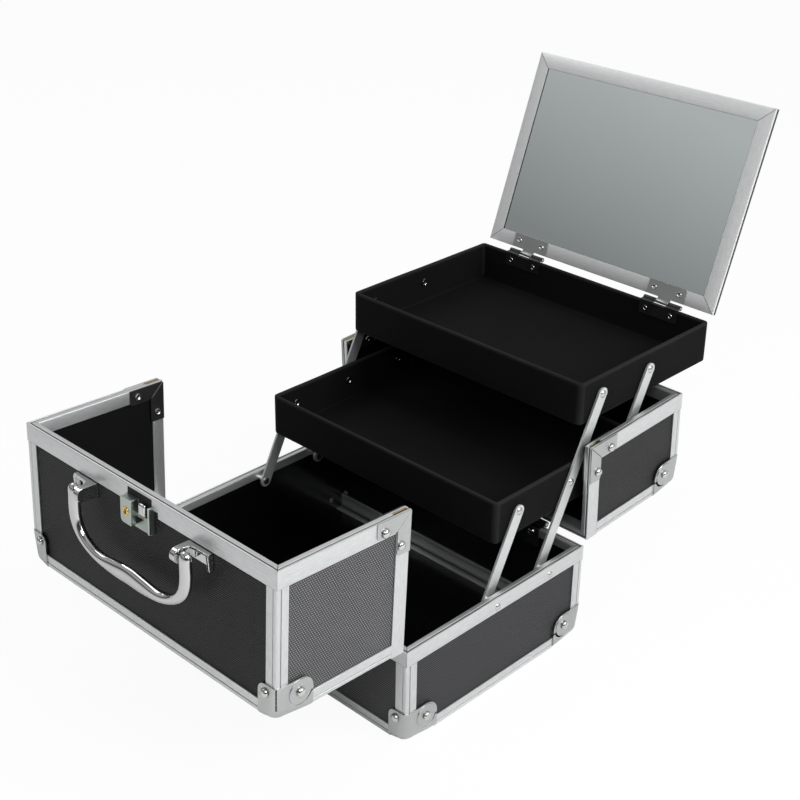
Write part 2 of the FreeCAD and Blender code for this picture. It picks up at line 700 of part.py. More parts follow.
def make_lock():
    # A keyed case lock at the front lid's free edge, with a recess open to that edge for the hasp.
    y1 = -half_d + front_lid_depth - lock_edge_gap
    y0 = y1 - lock_length
    half = lock_width / 2
    step = y1 + lock_edge_gap - split_rim_flange - mitre_gap
    body = box(-half, half, y0, y1, lid_z1, lid_z1 + lock_height)
    body = body.fuse(box(-half, half, y0, step, lid_z1 - panel_out, lid_z1)).removeSplitter()
    ends = [e for e in body.Edges if abs(e.BoundBox.YMax - y0) < rivet_clear and e.BoundBox.XLength < rivet_clear
            and e.BoundBox.ZLength > lock_height]
    body = body.makeFillet(lock_corner_radius, ends)
    floor = lid_z1 + recess_floor
    roof = lid_z1 + lock_height + overrun
    body = body.cut(box(recess_left, recess_right, y1 - recess_length, y1 + overrun, floor, roof))
    tip = V(recess_left, y1 - recess_length, lid_z1 + lock_height - stop_slot_depth)
    wedge = outline([tip, tip + V(stop_slot_width, 0, 0), tip + V(stop_slot_width, -stop_slot_length, 0)])
    body = body.cut(extrude_section(wedge, V(0, 0, stop_slot_depth)))
    key = V(key_place, y1 - key_back, lid_z1 + lock_height - key_depth)
    body = body.cut(rod(key, V(0, 0, 1), key_radius + key_clear, key_depth))
    nodes["lock_housing"] = body
    core = rod(key + V(0, 0, key_clear), V(0, 0, 1), key_radius, key_depth + key_rise - key_clear)
    face = key.z + key_depth + key_rise
    nodes["key_cylinder"] = core.cut(box(key.x - key_slot_width / 2, key.x + key_slot_width / 2,
                                         key.y - key_slot_length / 2, key.y + key_slot_length / 2,
                                         face - key_slot_depth, face))
    pawl = box(pawl_left, pawl_left + pawl_width, y1 - pawl_back - pawl_length, y1 - pawl_back,
               floor + pawl_lift, floor + pawl_lift + pawl_height)
    crest = [e for e in pawl.Edges if e.BoundBox.ZMin > floor + pawl_lift + pawl_height / 2]
    nodes["latch_pawl"] = pawl.makeFillet(pawl_round, crest)
    return key


def make_hasp():
    # The hinged hasp at the rear lid's free edge, folded back on the panel; drawn as on a front lid.
    edge = -half_d + rear_lid_depth
    axis = V(0, edge - hasp_base_length - hasp_knuckle_radius, lid_z1 + hasp_pin_rise)
    x0, x1 = hasp_left, hasp_left + hasp_width
    left, right = x0 - hasp_base_side, x1 + hasp_base_side
    plate = [box(left, right, edge - hasp_base_length, edge - trim_thick, lid_z1, lid_z1 + hasp_base_thick)]
    for a, b in ((left, x0 - hasp_side_gap), (x1 + hasp_side_gap, right)):
        plate.append(rod(V(a, axis.y, axis.z), V(1, 0, 0), hasp_knuckle_radius, b - a))
        plate.append(box(a, b, axis.y, edge - hasp_base_length, lid_z1 + hasp_pin_rise - hasp_knuckle_radius,
                         lid_z1 + hasp_base_thick))
    bore = rod(V(left, axis.y, axis.z), V(1, 0, 0), hasp_pin_radius + pin_clear, right - left)
    nodes["hasp_base"] = joined(plate).cut(bore)
    nodes["hasp_pin"] = rod(V(left, axis.y, axis.z), V(1, 0, 0), hasp_pin_radius, right - left)
    strap = [rod(V(x0, axis.y, axis.z), V(1, 0, 0), hasp_knuckle_radius, x1 - x0)]
    strap.append(box(x0, x1, axis.y - hasp_length, axis.y, axis.z - hasp_thick / 2, axis.z + hasp_thick / 2))
    nodes["hasp"] = joined(strap).cut(bore)
    return axis


def flat_arm(start, length, holes):
    # A flat bar with round ends, standing at the open angle, on the right side of the case.
    x0 = tray_width / 2 + washer_thick + arm_play
    bar = box(0, arm_thick, 0, length, -arm_width / 2, arm_width / 2)
    for y in (0, length):
        bar = bar.fuse(rod(V(0, y, 0), V(1, 0, 0), arm_width / 2, arm_thick))
    bar = bar.removeSplitter()
    for y in holes:
        bar = bar.cut(rod(V(0, y, 0), V(1, 0, 0), pivot_radius + pivot_clear, arm_thick))
    bar.rotate(V(0, 0, 0), V(1, 0, 0), arm_open_angle)
    bar.translate(V(x0, start.y, start.z))
    return bar


def pivot_stud(place, x_out, x_in, head):
    # A pivot rivet along X: domed head at x_out, thin inner head at x_in, both heads outside the grip.
    body = rod(V(x_in, place.y, place.z), V(1, 0, 0), pivot_radius, x_out - x_in)
    cap = pointed(dome(rivet_head_radius, rivet_head_height), V(x_out, place.y, place.z), V(1, 0, 0))
    foot = rod(V(x_in - head, place.y, place.z), V(1, 0, 0), rivet_head_radius, head)
    return joined([body, cap, foot])


def make_tray(name, front, top):
    # A shallow open tray: a floor board and four wall boards with rounded top edges.
    half = tray_width / 2
    y0, y1 = front, front + tray_depth
    low = top - tray_height
    soft = tray_edge_radius
    bend = soft * (1 - math.sqrt(2) / 2)

    def board(origin, across, run):
        pts = [(0, tray_height - soft), (0, 0), (tray_wall, 0), (tray_wall, tray_height - soft)]
        places = [origin + across * a + V(0, 0, b) for a, b in pts]
        up = [origin + across * a + V(0, 0, tray_height) for a in (tray_wall - soft, soft)]
        edges = [Part.LineSegment(a, b).toShape() for a, b in zip(places, places[1:])]
        mid = origin + across * (tray_wall - bend) + V(0, 0, tray_height - bend)
        edges.append(Part.Arc(places[3], mid, up[0]).toShape())
        edges.append(Part.LineSegment(up[0], up[1]).toShape())
        mid = origin + across * bend + V(0, 0, tray_height - bend)
        edges.append(Part.Arc(up[1], mid, places[0]).toShape())
        return extrude_section(edges, run)

    fore = board(V(-half, y0, low), V(0, 1, 0), V(tray_width, 0, 0))
    back = board(V(-half, y1, low), V(0, -1, 0), V(tray_width, 0, 0))
    side = board(V(half, y0 + tray_wall, low), V(-1, 0, 0), V(0, tray_depth - 2 * tray_wall, 0))
    floor = box(-half + tray_wall, half - tray_wall, y0 + tray_wall, y1 - tray_wall, low, low + tray_floor)
    nodes[name] = group([floor, fore, back] + pair(side))


def tray_pivots(tray, places):
    # Rivets and nylon washers that carry a tray on its arms, on both sides.
    x_wall = tray_width / 2
    x_arm = x_wall + washer_thick + arm_play
    x_out = x_arm + arm_thick + arm_play
    solids = []
    for place in places:
        rivet = pivot_stud(place, x_out, x_wall - tray_wall, pivot_inner_head)
        ring = rod(V(x_wall, place.y, place.z), V(1, 0, 0), washer_radius, washer_thick)
        hole = rod(V(x_wall - tray_wall, place.y, place.z), V(1, 0, 0), pivot_radius + pivot_clear,
                   tray_wall + washer_thick)
        nodes[tray] = nodes[tray].cut(hole).cut(swap_x(hole))
        solids += pair(rivet) + pair(ring.cut(hole))
    nodes[tray + "_pivots"] = group(solids)


def make_linkage():
    lean = math.radians(arm_open_angle)
    step = V(0, arm_pitch * math.cos(lean), arm_pitch * math.sin(lean))
    first = V(0, arm_place_share * case_depth, rim_z - arm_pivot_drop)
    second = first + V(0, arm_spacing, 0)
    third = second + V(0, arm_spacing, 0)
    nodes["front_arms"] = group(pair(flat_arm(first, arm_pitch, (0, arm_pitch))))
    nodes["long_arms"] = group(pair(flat_arm(second, 2 * arm_pitch, (0, arm_pitch, 2 * arm_pitch))))
    nodes["rear_arms"] = group(pair(flat_arm(third + step, arm_pitch, (0, arm_pitch))))
    low = first + step
    high = second + step * 2
    make_tray("lower_tray", low.y - tray_pivot_back, low.z + tray_pivot_drop)
    make_tray("upper_tray", high.y - tray_pivot_back, high.z + tray_pivot_drop)
    tray_pivots("lower_tray", (low, second + step, third + step))
    tray_pivots("upper_tray", (high, third + step * 2))

    x_arm = tray_width / 2 + washer_thick + arm_play
    x_far = x_arm + arm_thick + arm_play
    solids = []
    for place in (first, second):
        grip = rod(V(x_far, place.y, place.z), V(1, 0, 0), pivot_radius + pivot_clear, half_w - x_far)
        rivet = pivot_stud(place, half_w, x_arm - arm_play, pivot_inner_head)
        spacer = rod(V(x_far, place.y, place.z), V(1, 0, 0), spacer_radius, half_w - rim_wide - x_far)
        solids += pair(rivet) + pair(spacer.cut(grip))
        for name in ("base_side_panels", "base_lining", "base_rim_trims"):
            nodes[name] = nodes[name].cut(grip).cut(swap_x(grip))
    nodes["arm_pivots"] = group(solids)
    return first, second, third, step, high


def make_mirror(rear, top):
    # The framed mirror, drawn flat with its glass up and its lower edge along X, then leaned back.
    pin = V(0, rear + mirror_pin_back, top + mirror_pin_rise)
    half = mirror_width / 2
    slot = mirror_glass_thick + mirror_backing_thick + mirror_fit
    pts = [(0, 0), (mirror_strip, 0), (mirror_strip, mirror_lip)]
    pts += [(mirror_strip - mirror_slot_depth, mirror_lip), (mirror_strip - mirror_slot_depth, mirror_lip + slot)]
    pts += [(mirror_strip, mirror_lip + slot), (mirror_strip, mirror_thick), (0, mirror_thick)]

    def strip(origin, inward, run):
        return extrude_section(outline([origin + inward * a - V(0, 0, b) for a, b in pts]), run)

    low = strip(V(-half, 0, 0), V(0, 1, 0), V(mirror_width, 0, 0))
    high = strip(V(-half, mirror_length, 0), V(0, -1, 0), V(mirror_width, 0, 0))
    side = strip(V(half, 0, 0), V(-1, 0, 0), V(0, mirror_length, 0))
    low = mitred(mitred(low, V(half, 0, 0), V(1, 1, 0)), V(-half, 0, 0), V(-1, 1, 0))
    high = mitred(mitred(high, V(half, mirror_length, 0), V(1, -1, 0)), V(-half, mirror_length, 0), V(-1, -1, 0))
    side = mitred(mitred(side, V(half, 0, 0), V(-1, -1, 0)), V(half, mirror_length, 0), V(-1, 1, 0))
    inset = mirror_strip - mirror_slot_depth + mirror_fit
    made = {"mirror_frame": group([low, high] + pair(side))}
    made["mirror_glass"] = box(-half + inset, half - inset, inset, mirror_length - inset,
                               -mirror_lip - mirror_glass_thick, -mirror_lip)
    made["mirror_backing"] = box(-half + inset, half - inset, inset, mirror_length - inset,
                                 -mirror_lip - mirror_glass_thick - mirror_backing_thick,
                                 -mirror_lip - mirror_glass_thick)
    leaves, screws, tray_leaves, tray_screws, pins = [], [], [], [], []
    wide = mirror_leaf_width / 2
    mid = mirror_mid_length / 2
    axis_y, axis_z = -mirror_edge_off, mirror_face_off
    y_in = rear - tray_wall
    for middle in (-mirror_hinge_place, mirror_hinge_place):
        plate = box(middle - wide, middle + wide, mirror_leaf_start, mirror_leaf_height, 0, mirror_leaf_thick)
        strap = box(middle - mid, middle + mid, axis_y, mirror_leaf_start, 0, mirror_leaf_thick)
        barrel = rod(V(middle - mid, axis_y, axis_z), V(1, 0, 0), mirror_knuckle_radius, mirror_mid_length)
        bore = rod(V(middle - wide, axis_y, axis_z), V(1, 0, 0), mirror_pin_radius + pin_clear, mirror_leaf_width)
        leaves.append(joined([plate, strap, barrel]).cut(bore))
        fixed = [box(middle - wide, middle + wide, y_in - mirror_leaf_thick, y_in, top - tray_leaf_height, top)]
        for x0, x1 in ((middle - wide, middle - mid - hinge_side_gap), (middle + mid + hinge_side_gap, middle + wide)):
            fixed.append(box(x0, x1, y_in - mirror_leaf_thick, pin.y, top, top + mirror_leaf_thick))
            fixed.append(rod(V(x0, pin.y, pin.z), V(1, 0, 0), mirror_knuckle_radius, x1 - x0))
        hole = rod(V(middle - wide, pin.y, pin.z), V(1, 0, 0), mirror_pin_radius + pin_clear, mirror_leaf_width)
        tray_leaves.append(joined(fixed).cut(hole))
        pins.append(rod(V(middle - wide, pin.y, pin.z), V(1, 0, 0), mirror_pin_radius, mirror_leaf_width))
        for side_x in (middle - mirror_screw_across, middle + mirror_screw_across):
            screws.append(V(side_x, mirror_screw_up, mirror_leaf_thick))
            tray_screws.append(V(side_x, y_in - mirror_leaf_thick, top - tray_screw_drop))
    made["mirror_hinge_leaves"] = group(leaves)
    heads = []
    grip = mirror_leaf_thick + mirror_lip
    for place in screws:
        heads.append(stud(place, V(0, 0, 1), screw_head_radius, screw_head_height, screw_shank_radius, grip))
        tool = rod(place - V(0, 0, grip), V(0, 0, 1), screw_shank_radius + rivet_clear, grip)
        for name in ("mirror_hinge_leaves", "mirror_frame"):
            made[name] = made[name].cut(tool)
    made["mirror_screws"] = group(heads)
    for name, shape in made.items():
        shape = moved(shape, V(0, mirror_edge_off, -mirror_face_off))
        shape = turned(shape, V(0, 0, 0), V(1, 0, 0), mirror_lean_angle)
        nodes[name] = moved(shape, pin)
    nodes["mirror_hinge_pins"] = group(pins)
    nodes["tray_hinge_leaves"] = group(tray_leaves)
    heads = []
    for place in tray_screws:
        heads.append(stud(place, V(0, -1, 0), screw_head_radius, screw_head_height, screw_shank_radius, screw_length))
        drill(("tray_hinge_leaves", "upper_tray"), place, V(0, -1, 0), screw_shank_radius + rivet_clear, screw_length)
    nodes["tray_hinge_screws"] = group(heads)
    return pin


make_base()
front_names = make_lid("front_lid", "front", front_lid_depth)
rear_names = make_lid("rear_lid", "rear", rear_lid_depth)
hasp_axis = make_hasp()
for name in rear_names + ["hasp_base", "hasp_pin", "hasp"]:
    nodes[name] = swap_y(nodes[name])
make_hinges()
handle_axis = make_handle()
key_axis = make_lock()
pivot_a, pivot_b, pivot_c, arm_step, tray_pivot = make_linkage()
mirror_pin = make_mirror(tray_pivot.y - tray_pivot_back + tray_depth, tray_pivot.z + tray_pivot_drop)

front_pin = V(0, -pin_y, pin_z)
rear_pin = V(0, pin_y, pin_z)
front_set = front_names + ["front_lid_hinge_leaves", "handle_saddles", "handle_pins", "handle",
                           "lock_housing", "key_cylinder", "latch_pawl"]
rear_set = rear_names + ["rear_lid_hinge_leaves", "hasp_base", "hasp_pin", "hasp"]
for name in front_set:
    nodes[name] = turned(nodes[name], front_pin, V(1, 0, 0), lid_open_angle)
for name in rear_set:
    nodes[name] = turned(nodes[name], rear_pin, V(1, 0, 0), -lid_open_angle)

# The origin is the middle of the open case's footprint, on the surface that it stands on.
limits = FreeCAD.BoundBox()
for shape in nodes.values():
    limits.add(shape.optimalBoundingBox(False))
shift = V(-limits.Center.x, -limits.Center.y, -limits.ZMin)

os.makedirs("parts", exist_ok=True)
for name, shape in nodes.items():
    moved(shape, shift).exportStep("parts/" + name + ".step")
    print(name, len(shape.Solids), "solids", round(shape.Volume, 1), "mm3", shape.isValid())


def show(label, point):
    print(label, round(point.x + shift.x, 4), round(point.y + shift.y, 4), round(point.z + shift.z, 4))


def opened(point, centre, angle):
    spin = FreeCAD.Rotation(V(1, 0, 0), angle)
    return spin.multVec(point - centre) + centre


show("front lid pin", front_pin)
show("rear lid pin", rear_pin)
show("arm pivot front", pivot_a)
show("arm pivot long", pivot_b)
show("lower tray pivot mid", pivot_b + arm_step)
show("lower tray pivot rear", pivot_c + arm_step)
show("upper tray pivot front", tray_pivot)
show("mirror pin", mirror_pin)
show("handle pin", opened(handle_axis, front_pin, lid_open_angle))
show("key", opened(key_axis, front_pin, lid_open_angle))
show("hasp pin", opened(V(hasp_axis.x, -hasp_axis.y, hasp_axis.z), rear_pin, -lid_open_angle))
print("size", round(limits.XLength, 2), round(limits.YLength, 2), round(limits.ZLength, 2))
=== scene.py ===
import json
import math

import bmesh
import bpy
from mathutils import Matrix, Vector, noise


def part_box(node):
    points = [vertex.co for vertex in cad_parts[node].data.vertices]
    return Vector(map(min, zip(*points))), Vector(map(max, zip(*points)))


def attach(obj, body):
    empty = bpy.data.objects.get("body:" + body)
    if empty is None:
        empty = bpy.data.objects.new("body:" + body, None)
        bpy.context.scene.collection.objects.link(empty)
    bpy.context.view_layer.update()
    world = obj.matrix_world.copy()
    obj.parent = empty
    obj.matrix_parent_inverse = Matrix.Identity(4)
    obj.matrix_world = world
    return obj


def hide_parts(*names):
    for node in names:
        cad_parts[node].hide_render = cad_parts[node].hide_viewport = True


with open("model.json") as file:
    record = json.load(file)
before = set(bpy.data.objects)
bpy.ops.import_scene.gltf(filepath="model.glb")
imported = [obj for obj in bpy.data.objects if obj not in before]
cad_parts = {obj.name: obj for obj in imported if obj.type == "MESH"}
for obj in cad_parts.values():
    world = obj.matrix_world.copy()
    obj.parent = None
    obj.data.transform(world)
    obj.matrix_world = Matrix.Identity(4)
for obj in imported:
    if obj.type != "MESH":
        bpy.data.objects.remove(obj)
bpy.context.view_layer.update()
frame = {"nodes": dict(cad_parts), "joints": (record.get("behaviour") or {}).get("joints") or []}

# The case: a hard shell of a base and two lids, standing open, with two trays and a mirror on arms.
# A lid's pieces are drawn closed and the mirror's lying flat with its glass up, and each body's turn
# about its hinge pin brings them to the open case.
mm = 0.001
joint = {j["name"]: j for j in frame["joints"]}


def turned(name, angle):
    pin = Vector(joint[name]["pos_m"])
    return Matrix.Translation(pin) @ Matrix.Rotation(angle, 4, "X") @ Matrix.Translation(-pin)


lid_opening = math.radians(joint["front_lid_fold"]["range_deg"][1])
mirror_lean = math.pi - math.radians(joint["mirror_fold"]["range_deg"][1])
turn = {"front_lid": turned("front_lid_fold", -joint["front_lid_fold"]["axis"][0] * lid_opening)}
turn["rear_lid"] = turned("rear_lid_fold", -joint["rear_lid_fold"]["axis"][0] * lid_opening)
turn["bail"] = turn["front_lid"]
turn["mirror"] = turned("mirror_fold", mirror_lean)
still = Matrix.Identity(4)


def drawn_box(node, body):
    # A node's lowest and highest corners as drawn, before its body's turn.
    back = turn.get(body, still).inverted()
    corners = [back @ v.co for v in frame["nodes"][node].data.vertices]
    low = Vector([min(c[i] for c in corners) for i in range(3)])
    high = Vector([max(c[i] for c in corners) for i in range(3)])
    return low, high


# Panels: thin board with a black plastic skin on its outer side, embossed with small raised dots in
# staggered rows. Each is held in the edge frame, so no cut edge shows.
class Value:
    # A socket whose sums become Math nodes.
    def __init__(self, shading, socket):
        self.shading = shading
        self.socket = socket

    def other(self, output):
        return Value(self.shading, self.socket.node.outputs[output])

    def math(self, operation, *others):
        sockets = dict(enumerate((self,) + others))
        return self.shading.node("Math", {"operation": operation}, sockets)

    def after(self, operation, first):
        return self.shading.node("Math", {"operation": operation}, {0: first, 1: self})

    def __add__(self, other):
        return self.math("ADD", other)

    def __sub__(self, other):
        return self.math("SUBTRACT", other)

    def __mul__(self, other):
        return self.math("MULTIPLY", other)

    def __truediv__(self, other):
        return self.math("DIVIDE", other)

    def __gt__(self, other):
        return self.math("GREATER_THAN", other)

    def __radd__(self, other):
        return self.after("ADD", other)

    def __rsub__(self, other):
        return self.after("SUBTRACT", other)

    def __rmul__(self, other):
        return self.after("MULTIPLY", other)


class Shading:
    # The nodes of one material or of the room.
    def __init__(self, tree):
        self.tree = tree

    def node(self, kind, settings, sockets):
        made = self.tree.nodes.new("ShaderNode" + kind)
        for key, value in settings.items():
            setattr(made, key, value)
        for key, value in sockets.items():
            self.join(made.inputs[key], value)
        return Value(self, made.outputs[0]) if len(made.outputs) else None

    def join(self, socket, value):
        if isinstance(value, Value):
            self.tree.links.new(value.socket, socket)
        else:
            socket.default_value = value

    def place(self):
        return self.node("TexCoord", {}, {}).other("Object")

    def noise(self, where, scale, detail):
        return self.node("TexNoise", {}, {"Vector": where, "Scale": scale, "Detail": detail})

    def stretched(self, where, scale):
        return self.node("Mapping", {}, {"Vector": where, "Scale": scale})

    def mixed(self, factor, first, second):
        return self.node("Mix", {"data_type": "RGBA"}, {0: factor, 6: first, 7: second}).other(2)

    def shade(self, factor, dark, light):
        return self.mixed(factor, (*dark, 1), (*light, 1))

    def relief(self, height, depth, strength):
        return self.node("Bump", {}, {"Height": height, "Distance": depth, "Strength": strength})


class Finish(Shading):
    # One surface finish: a material whose steady values are set at once.
    def __init__(self, name, steady):
        self.material = bpy.data.materials.new(name)
        self.material.use_nodes = True
        super().__init__(self.material.node_tree)
        self.main = self.tree.nodes["Principled BSDF"]
        for socket, value in steady.items():
            self.main.inputs[socket].default_value = value

    def feed(self, sockets):
        for name, value in sockets.items():
            self.join(self.main.inputs[name], value)


def dress(names, finish):
    for name in names:
        slots = frame["nodes"][name].data.materials
        if len(slots) == 0:
            slots.append(finish.material)
        for i in range(len(slots)):
            slots[i] = finish.material


dot_row = 1.54 * mm
dot_height = 0.17 * mm
dot_fullness = 1.4
wave_total = 3.0
front_weight = 2.1
skin_black = (0.004, 0.004, 0.0042)
side_painted_black = (0.012, 0.012, 0.013)


def embossed_skin(body, slant, dull, painted_glint, side_weight):
    # Staggered dots from three waves 60 degrees apart. They read as level rows on the front, and on
    # the sides by side_weight.
    finish = Finish("embossed_skin_" + body, {"Specular IOR Level": 0.2})
    spin = {"rotation_type": "X_AXIS"}
    here = finish.node("VectorRotate", spin, {"Vector": finish.place(), "Angle": slant})
    facing = finish.node("TexCoord", {}, {}).other("Normal")
    facing = finish.node("VectorRotate", spin, {"Vector": facing, "Angle": slant})
    x = finish.node("SeparateXYZ", {}, {0: here})
    y, z = x.other(1), x.other(2)
    normal = finish.node("SeparateXYZ", {}, {0: facing})
    on_side = normal.math("ABSOLUTE") > 0.5
    on_top = normal.other(2).math("ABSOLUTE") > 0.5
    height = z + (y - z) * on_top
    across = x + (y - x) * on_side
    turns = 2 * math.pi / dot_row
    row_weight = front_weight + on_side * (side_weight - front_weight)
    waves = wave_total / 2 + (height * turns).math("COSINE") * row_weight
    for tilt in (math.radians(60), math.radians(120)):
        run = height * (turns * math.cos(tilt)) + across * (turns * math.sin(tilt))
        waves = waves + run.math("COSINE") * ((wave_total - row_weight) / 2)
    dots = (waves / (wave_total * 1.5)).math("MAXIMUM", 0.0).math("POWER", dot_fullness)
    worn = finish.noise(here, 45, 4)
    plain = finish.shade(dots * 0.8 + worn * 0.2, skin_black, dull)
    # Painted highlight: the dots on the side faces get their own lighter tone, set per body.
    painted_side_light = finish.shade(dots * 0.9 + worn * 0.1, side_painted_black, painted_glint)
    finish.feed({
        "Base Color": finish.mixed(on_side, plain, painted_side_light),
        "Roughness": 0.38 - dots * 0.08 + worn * 0.08,
        "Normal": finish.relief(dots, dot_height, 1.0),
    })
    return finish


lean_out = math.pi / 2 - lid_opening
dull_black = (0.013, 0.013, 0.0135)
mid_black = (0.14, 0.14, 0.145)
# Painted highlights: each body's tone for the dots on its side faces, standing for the lamp's light.
base_side_painted_glint = (0.068, 0.068, 0.073)
front_side_painted_glint = (0.30, 0.30, 0.31)
rear_side_painted_glint = (0.018, 0.018, 0.019)
for body, slant, dull, painted_glint, side_weight, names in (
    ("base", 0.0, mid_black, base_side_painted_glint, 2.2,
     ("base_bottom_panel", "base_front_panel", "base_rear_panel", "base_side_panels")),
    ("front_lid", lean_out, dull_black, front_side_painted_glint, 1.2,
     ("front_lid_top_panel", "front_lid_front_panel", "front_lid_side_panels")),
    ("rear_lid", -lean_out, dull_black, rear_side_painted_glint, 1.0,
     ("rear_lid_top_panel", "rear_lid_rear_panel", "rear_lid_side_panels")),
):
    dress(names, embossed_skin(body, slant, dull, painted_glint, side_weight))

# Lining: thin black cloth, glued flat to the inside of the panels.
# The lids have a dull cloth with a short nap, and the base has a smoother, slightly glossy sheet.
cloth_dark = (0.0012, 0.0012, 0.0014)
cloth_light = (0.0034, 0.0034, 0.0037)


def lining_cloth(name, gloss, roughness):
    finish = Finish(name, {"Specular IOR Level": gloss})
    nap = finish.noise(finish.place(), 900, 3)
    patch = finish.noise(finish.place(), 18, 4)
    finish.feed({
        "Base Color": finish.shade(nap * 0.5 + patch * 0.5, cloth_dark, cloth_light),
        "Roughness": roughness + patch * 0.12,
        "Normal": finish.relief(nap, 0.03 * mm, 0.3),
    })
    return finish


dress(("front_lid_lining", "rear_lid_lining"), lining_cloth("lid_lining", 0.18, 0.55))
dress(("base_lining",), lining_cloth("base_lining", 0.45, 0.14))

# Edge frame: aluminium extrusions with a satin anodised face, sawn to length and mitred.
# They are pressed over the panels' edges and held by the corners' rivets.
# Painted shade: the colour given to grooves and mitre seams, where light would not reach.
groove_painted_shade = (0.085, 0.085, 0.088, 1)


def satin(name, metallic, dark, light):
    # Satin metal, streaked along each bar, with painted shade in its grooves and at its mitre seams.
    finish = Finish(name, {"Metallic": metallic, "Specular IOR Level": 0.5})
    run = finish.node("UVMap", {"uv_map": "along"}, {})
    streak = finish.noise(finish.stretched(run, (9, 2400, 1)), 1, 3)
    cloud = finish.noise(finish.stretched(run, (160, 900, 1)), 1, 5)
    crevice_painted_shade = finish.node("Attribute", {"attribute_name": "crevice_painted_shade"}, {}).other("Fac")
    bright = finish.shade((streak * 0.5 + cloud * 0.5) * 2.2 - 0.6, dark, light)
    finish.feed({
        "Base Color": finish.mixed(crevice_painted_shade, bright, groove_painted_shade),
        "Roughness": 0.24 + streak * 0.12 + cloud * 0.10,
        "Normal": finish.relief(streak * 0.6 + cloud * 0.4, 0.02 * mm, 0.5),
    })
    return finish


aluminium = satin("satin_aluminium", 0.80, (0.54, 0.55, 0.553), (0.74, 0.755, 0.76))
arc_share = 0.49


def rounded(points, steps):
    # An outline from corners (a, b, radius), each corner turned by an arc.
    ring = []
    count = len(points)
    for i, (a, b, radius) in enumerate(points):
        here = Vector((a, b))
        if radius <= 0:
            ring.append(here)
            continue
        before = Vector(points[i - 1][:2]) - here
        after = Vector(points[(i + 1) % count][:2]) - here
        half = before.angle(after) / 2
        reach = min(radius / math.tan(half), before.length * arc_share, after.length * arc_share)
        radius = reach * math.tan(half)
        start = here + before.normalized() * reach
        end = here + after.normalized() * reach
        inward = (before.normalized() + after.normalized()).normalized()
        centre = here + inward * (radius / math.sin(half))
        for k in range(steps + 1):
            spot = start.lerp(end, k / steps) - centre
            ring.append(centre + spot.normalized() * radius)
    return ring


mitre = (1, 0)
square = (0, 0)
hair_seam = 0.1 * mm
seam_shade = 0.45 * mm
bare_corner = 0.3 * mm


def add_bar(bm, outline, origin, first, second, along, length, start=square, end=square):
    # A straight bar: the outline in (first, second), its ends cut by slopes (per first, per second).
    # A mitred end leaves a hair gap. Its edge, apart from the very corner, and the outline's hollow
    # corners are marked for painted shade.
    layer = bm.loops.layers.uv.verify()
    shade_marks = bm.verts.layers.float.get("crevice_painted_shade") or bm.verts.layers.float.new("crevice_painted_shade")
    area = sum(p.x * q.y - q.x * p.y for p, q in zip(outline, outline[1:] + outline[:1]))
    hollow = []
    for before, p, after in zip(outline[-1:] + outline[:-1], outline, outline[1:] + outline[:1]):
        bend = (p - before).normalized().cross((after - p).normalized())
        hollow.append(1.0 if bend * area < -0.2 * abs(area) else 0.0)
    around = [0.0]
    for p, q in zip(outline, outline[1:] + outline[:1]):
        around.append(around[-1] + (q - p).length)
    rows = []
    for far, cut in enumerate((start, end)):
        seams = [(0.0, 0.0)] if cut == square else [(hair_seam, 1.0), (seam_shade, 0.0)]
        for seam, dark in reversed(seams) if far else seams:
            row = []
            for p, mark in zip(outline, hollow):
                slope = cut[0] * p.x + cut[1] * p.y
                t = length - slope - seam if far else slope + seam
                vert = bm.verts.new(origin + first * p.x + second * p.y + along * t)
                vert[shade_marks] = max(mark, dark if slope > bare_corner else 0.0)
                row.append((vert, t))
            rows.append(row)
    count = len(outline)
    for row, after in zip(rows, rows[1:]):
        for i in range(count):
            j = (i + 1) % count
            corners = (row[i], row[j], after[j], after[i])
            face = bm.faces.new([c[0] for c in corners])
            for loop, corner, k in zip(face.loops, corners, (i, i + 1, i + 1, i)):
                loop[layer].uv = (corner[1], around[k])
    for row in (rows[0], rows[-1]):
        bm.faces.new([c[0] for c in row])


def finished_mesh(name, bm, sharp):
    bmesh.ops.recalc_face_normals(bm, faces=bm.faces)
    mesh = bpy.data.meshes.new(name)
    bm.to_mesh(mesh)
    bm.free()
    if mesh.uv_layers:
        mesh.uv_layers[0].name = "along"
    mesh.shade_smooth()
    mesh.set_sharp_from_angle(angle=math.radians(sharp))
    return mesh


def as_piece(mesh, finish, body, slot, *nodes):
    piece = bpy.data.objects.new(mesh.name, mesh)
    bpy.context.scene.collection.objects.link(piece)
    mesh.materials.clear()
    mesh.materials.append(finish.material)
    piece.matrix_world = turn.get(body, still)
    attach(piece, body)
    if nodes:
        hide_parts(*nodes)
    return piece


X, Y, Z = Vector((1, 0, 0)), Vector((0, 1, 0)), Vector((0, 0, 1))
rim_low, rim_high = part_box("base_rim_trims")
half_width = rim_high.x
rim_wide = 5.6 * mm
sheet = 1.0 * mm
soft = 0.25 * mm


def rim_outline(flange, inner):
    # A grooved channel: outer flange, top band with one groove, and an inner flange.
    groove, groove_wide, groove_deep = 1.2 * mm, 0.9 * mm, 0.8 * mm
    lip = 0.8 * mm
    web = 1.6 * mm
    slope = 0.15 * mm
    brow = 0.3 * mm
    far_side = groove + groove_wide
    points = [(0, flange, soft), (0, 0, 0.6 * mm), (groove, 0, brow), (groove + slope, groove_deep, 0)]
    points += [(far_side, groove_deep, 0), (far_side + slope, 0, brow)]
    points += [(rim_wide, 0, 0.8 * mm), (rim_wide, inner, soft), (rim_wide - lip, inner, soft)]
    points += [(rim_wide - lip, web, 0), (sheet, web, 0), (sheet, flange, soft)]
    return rounded(points, 4)


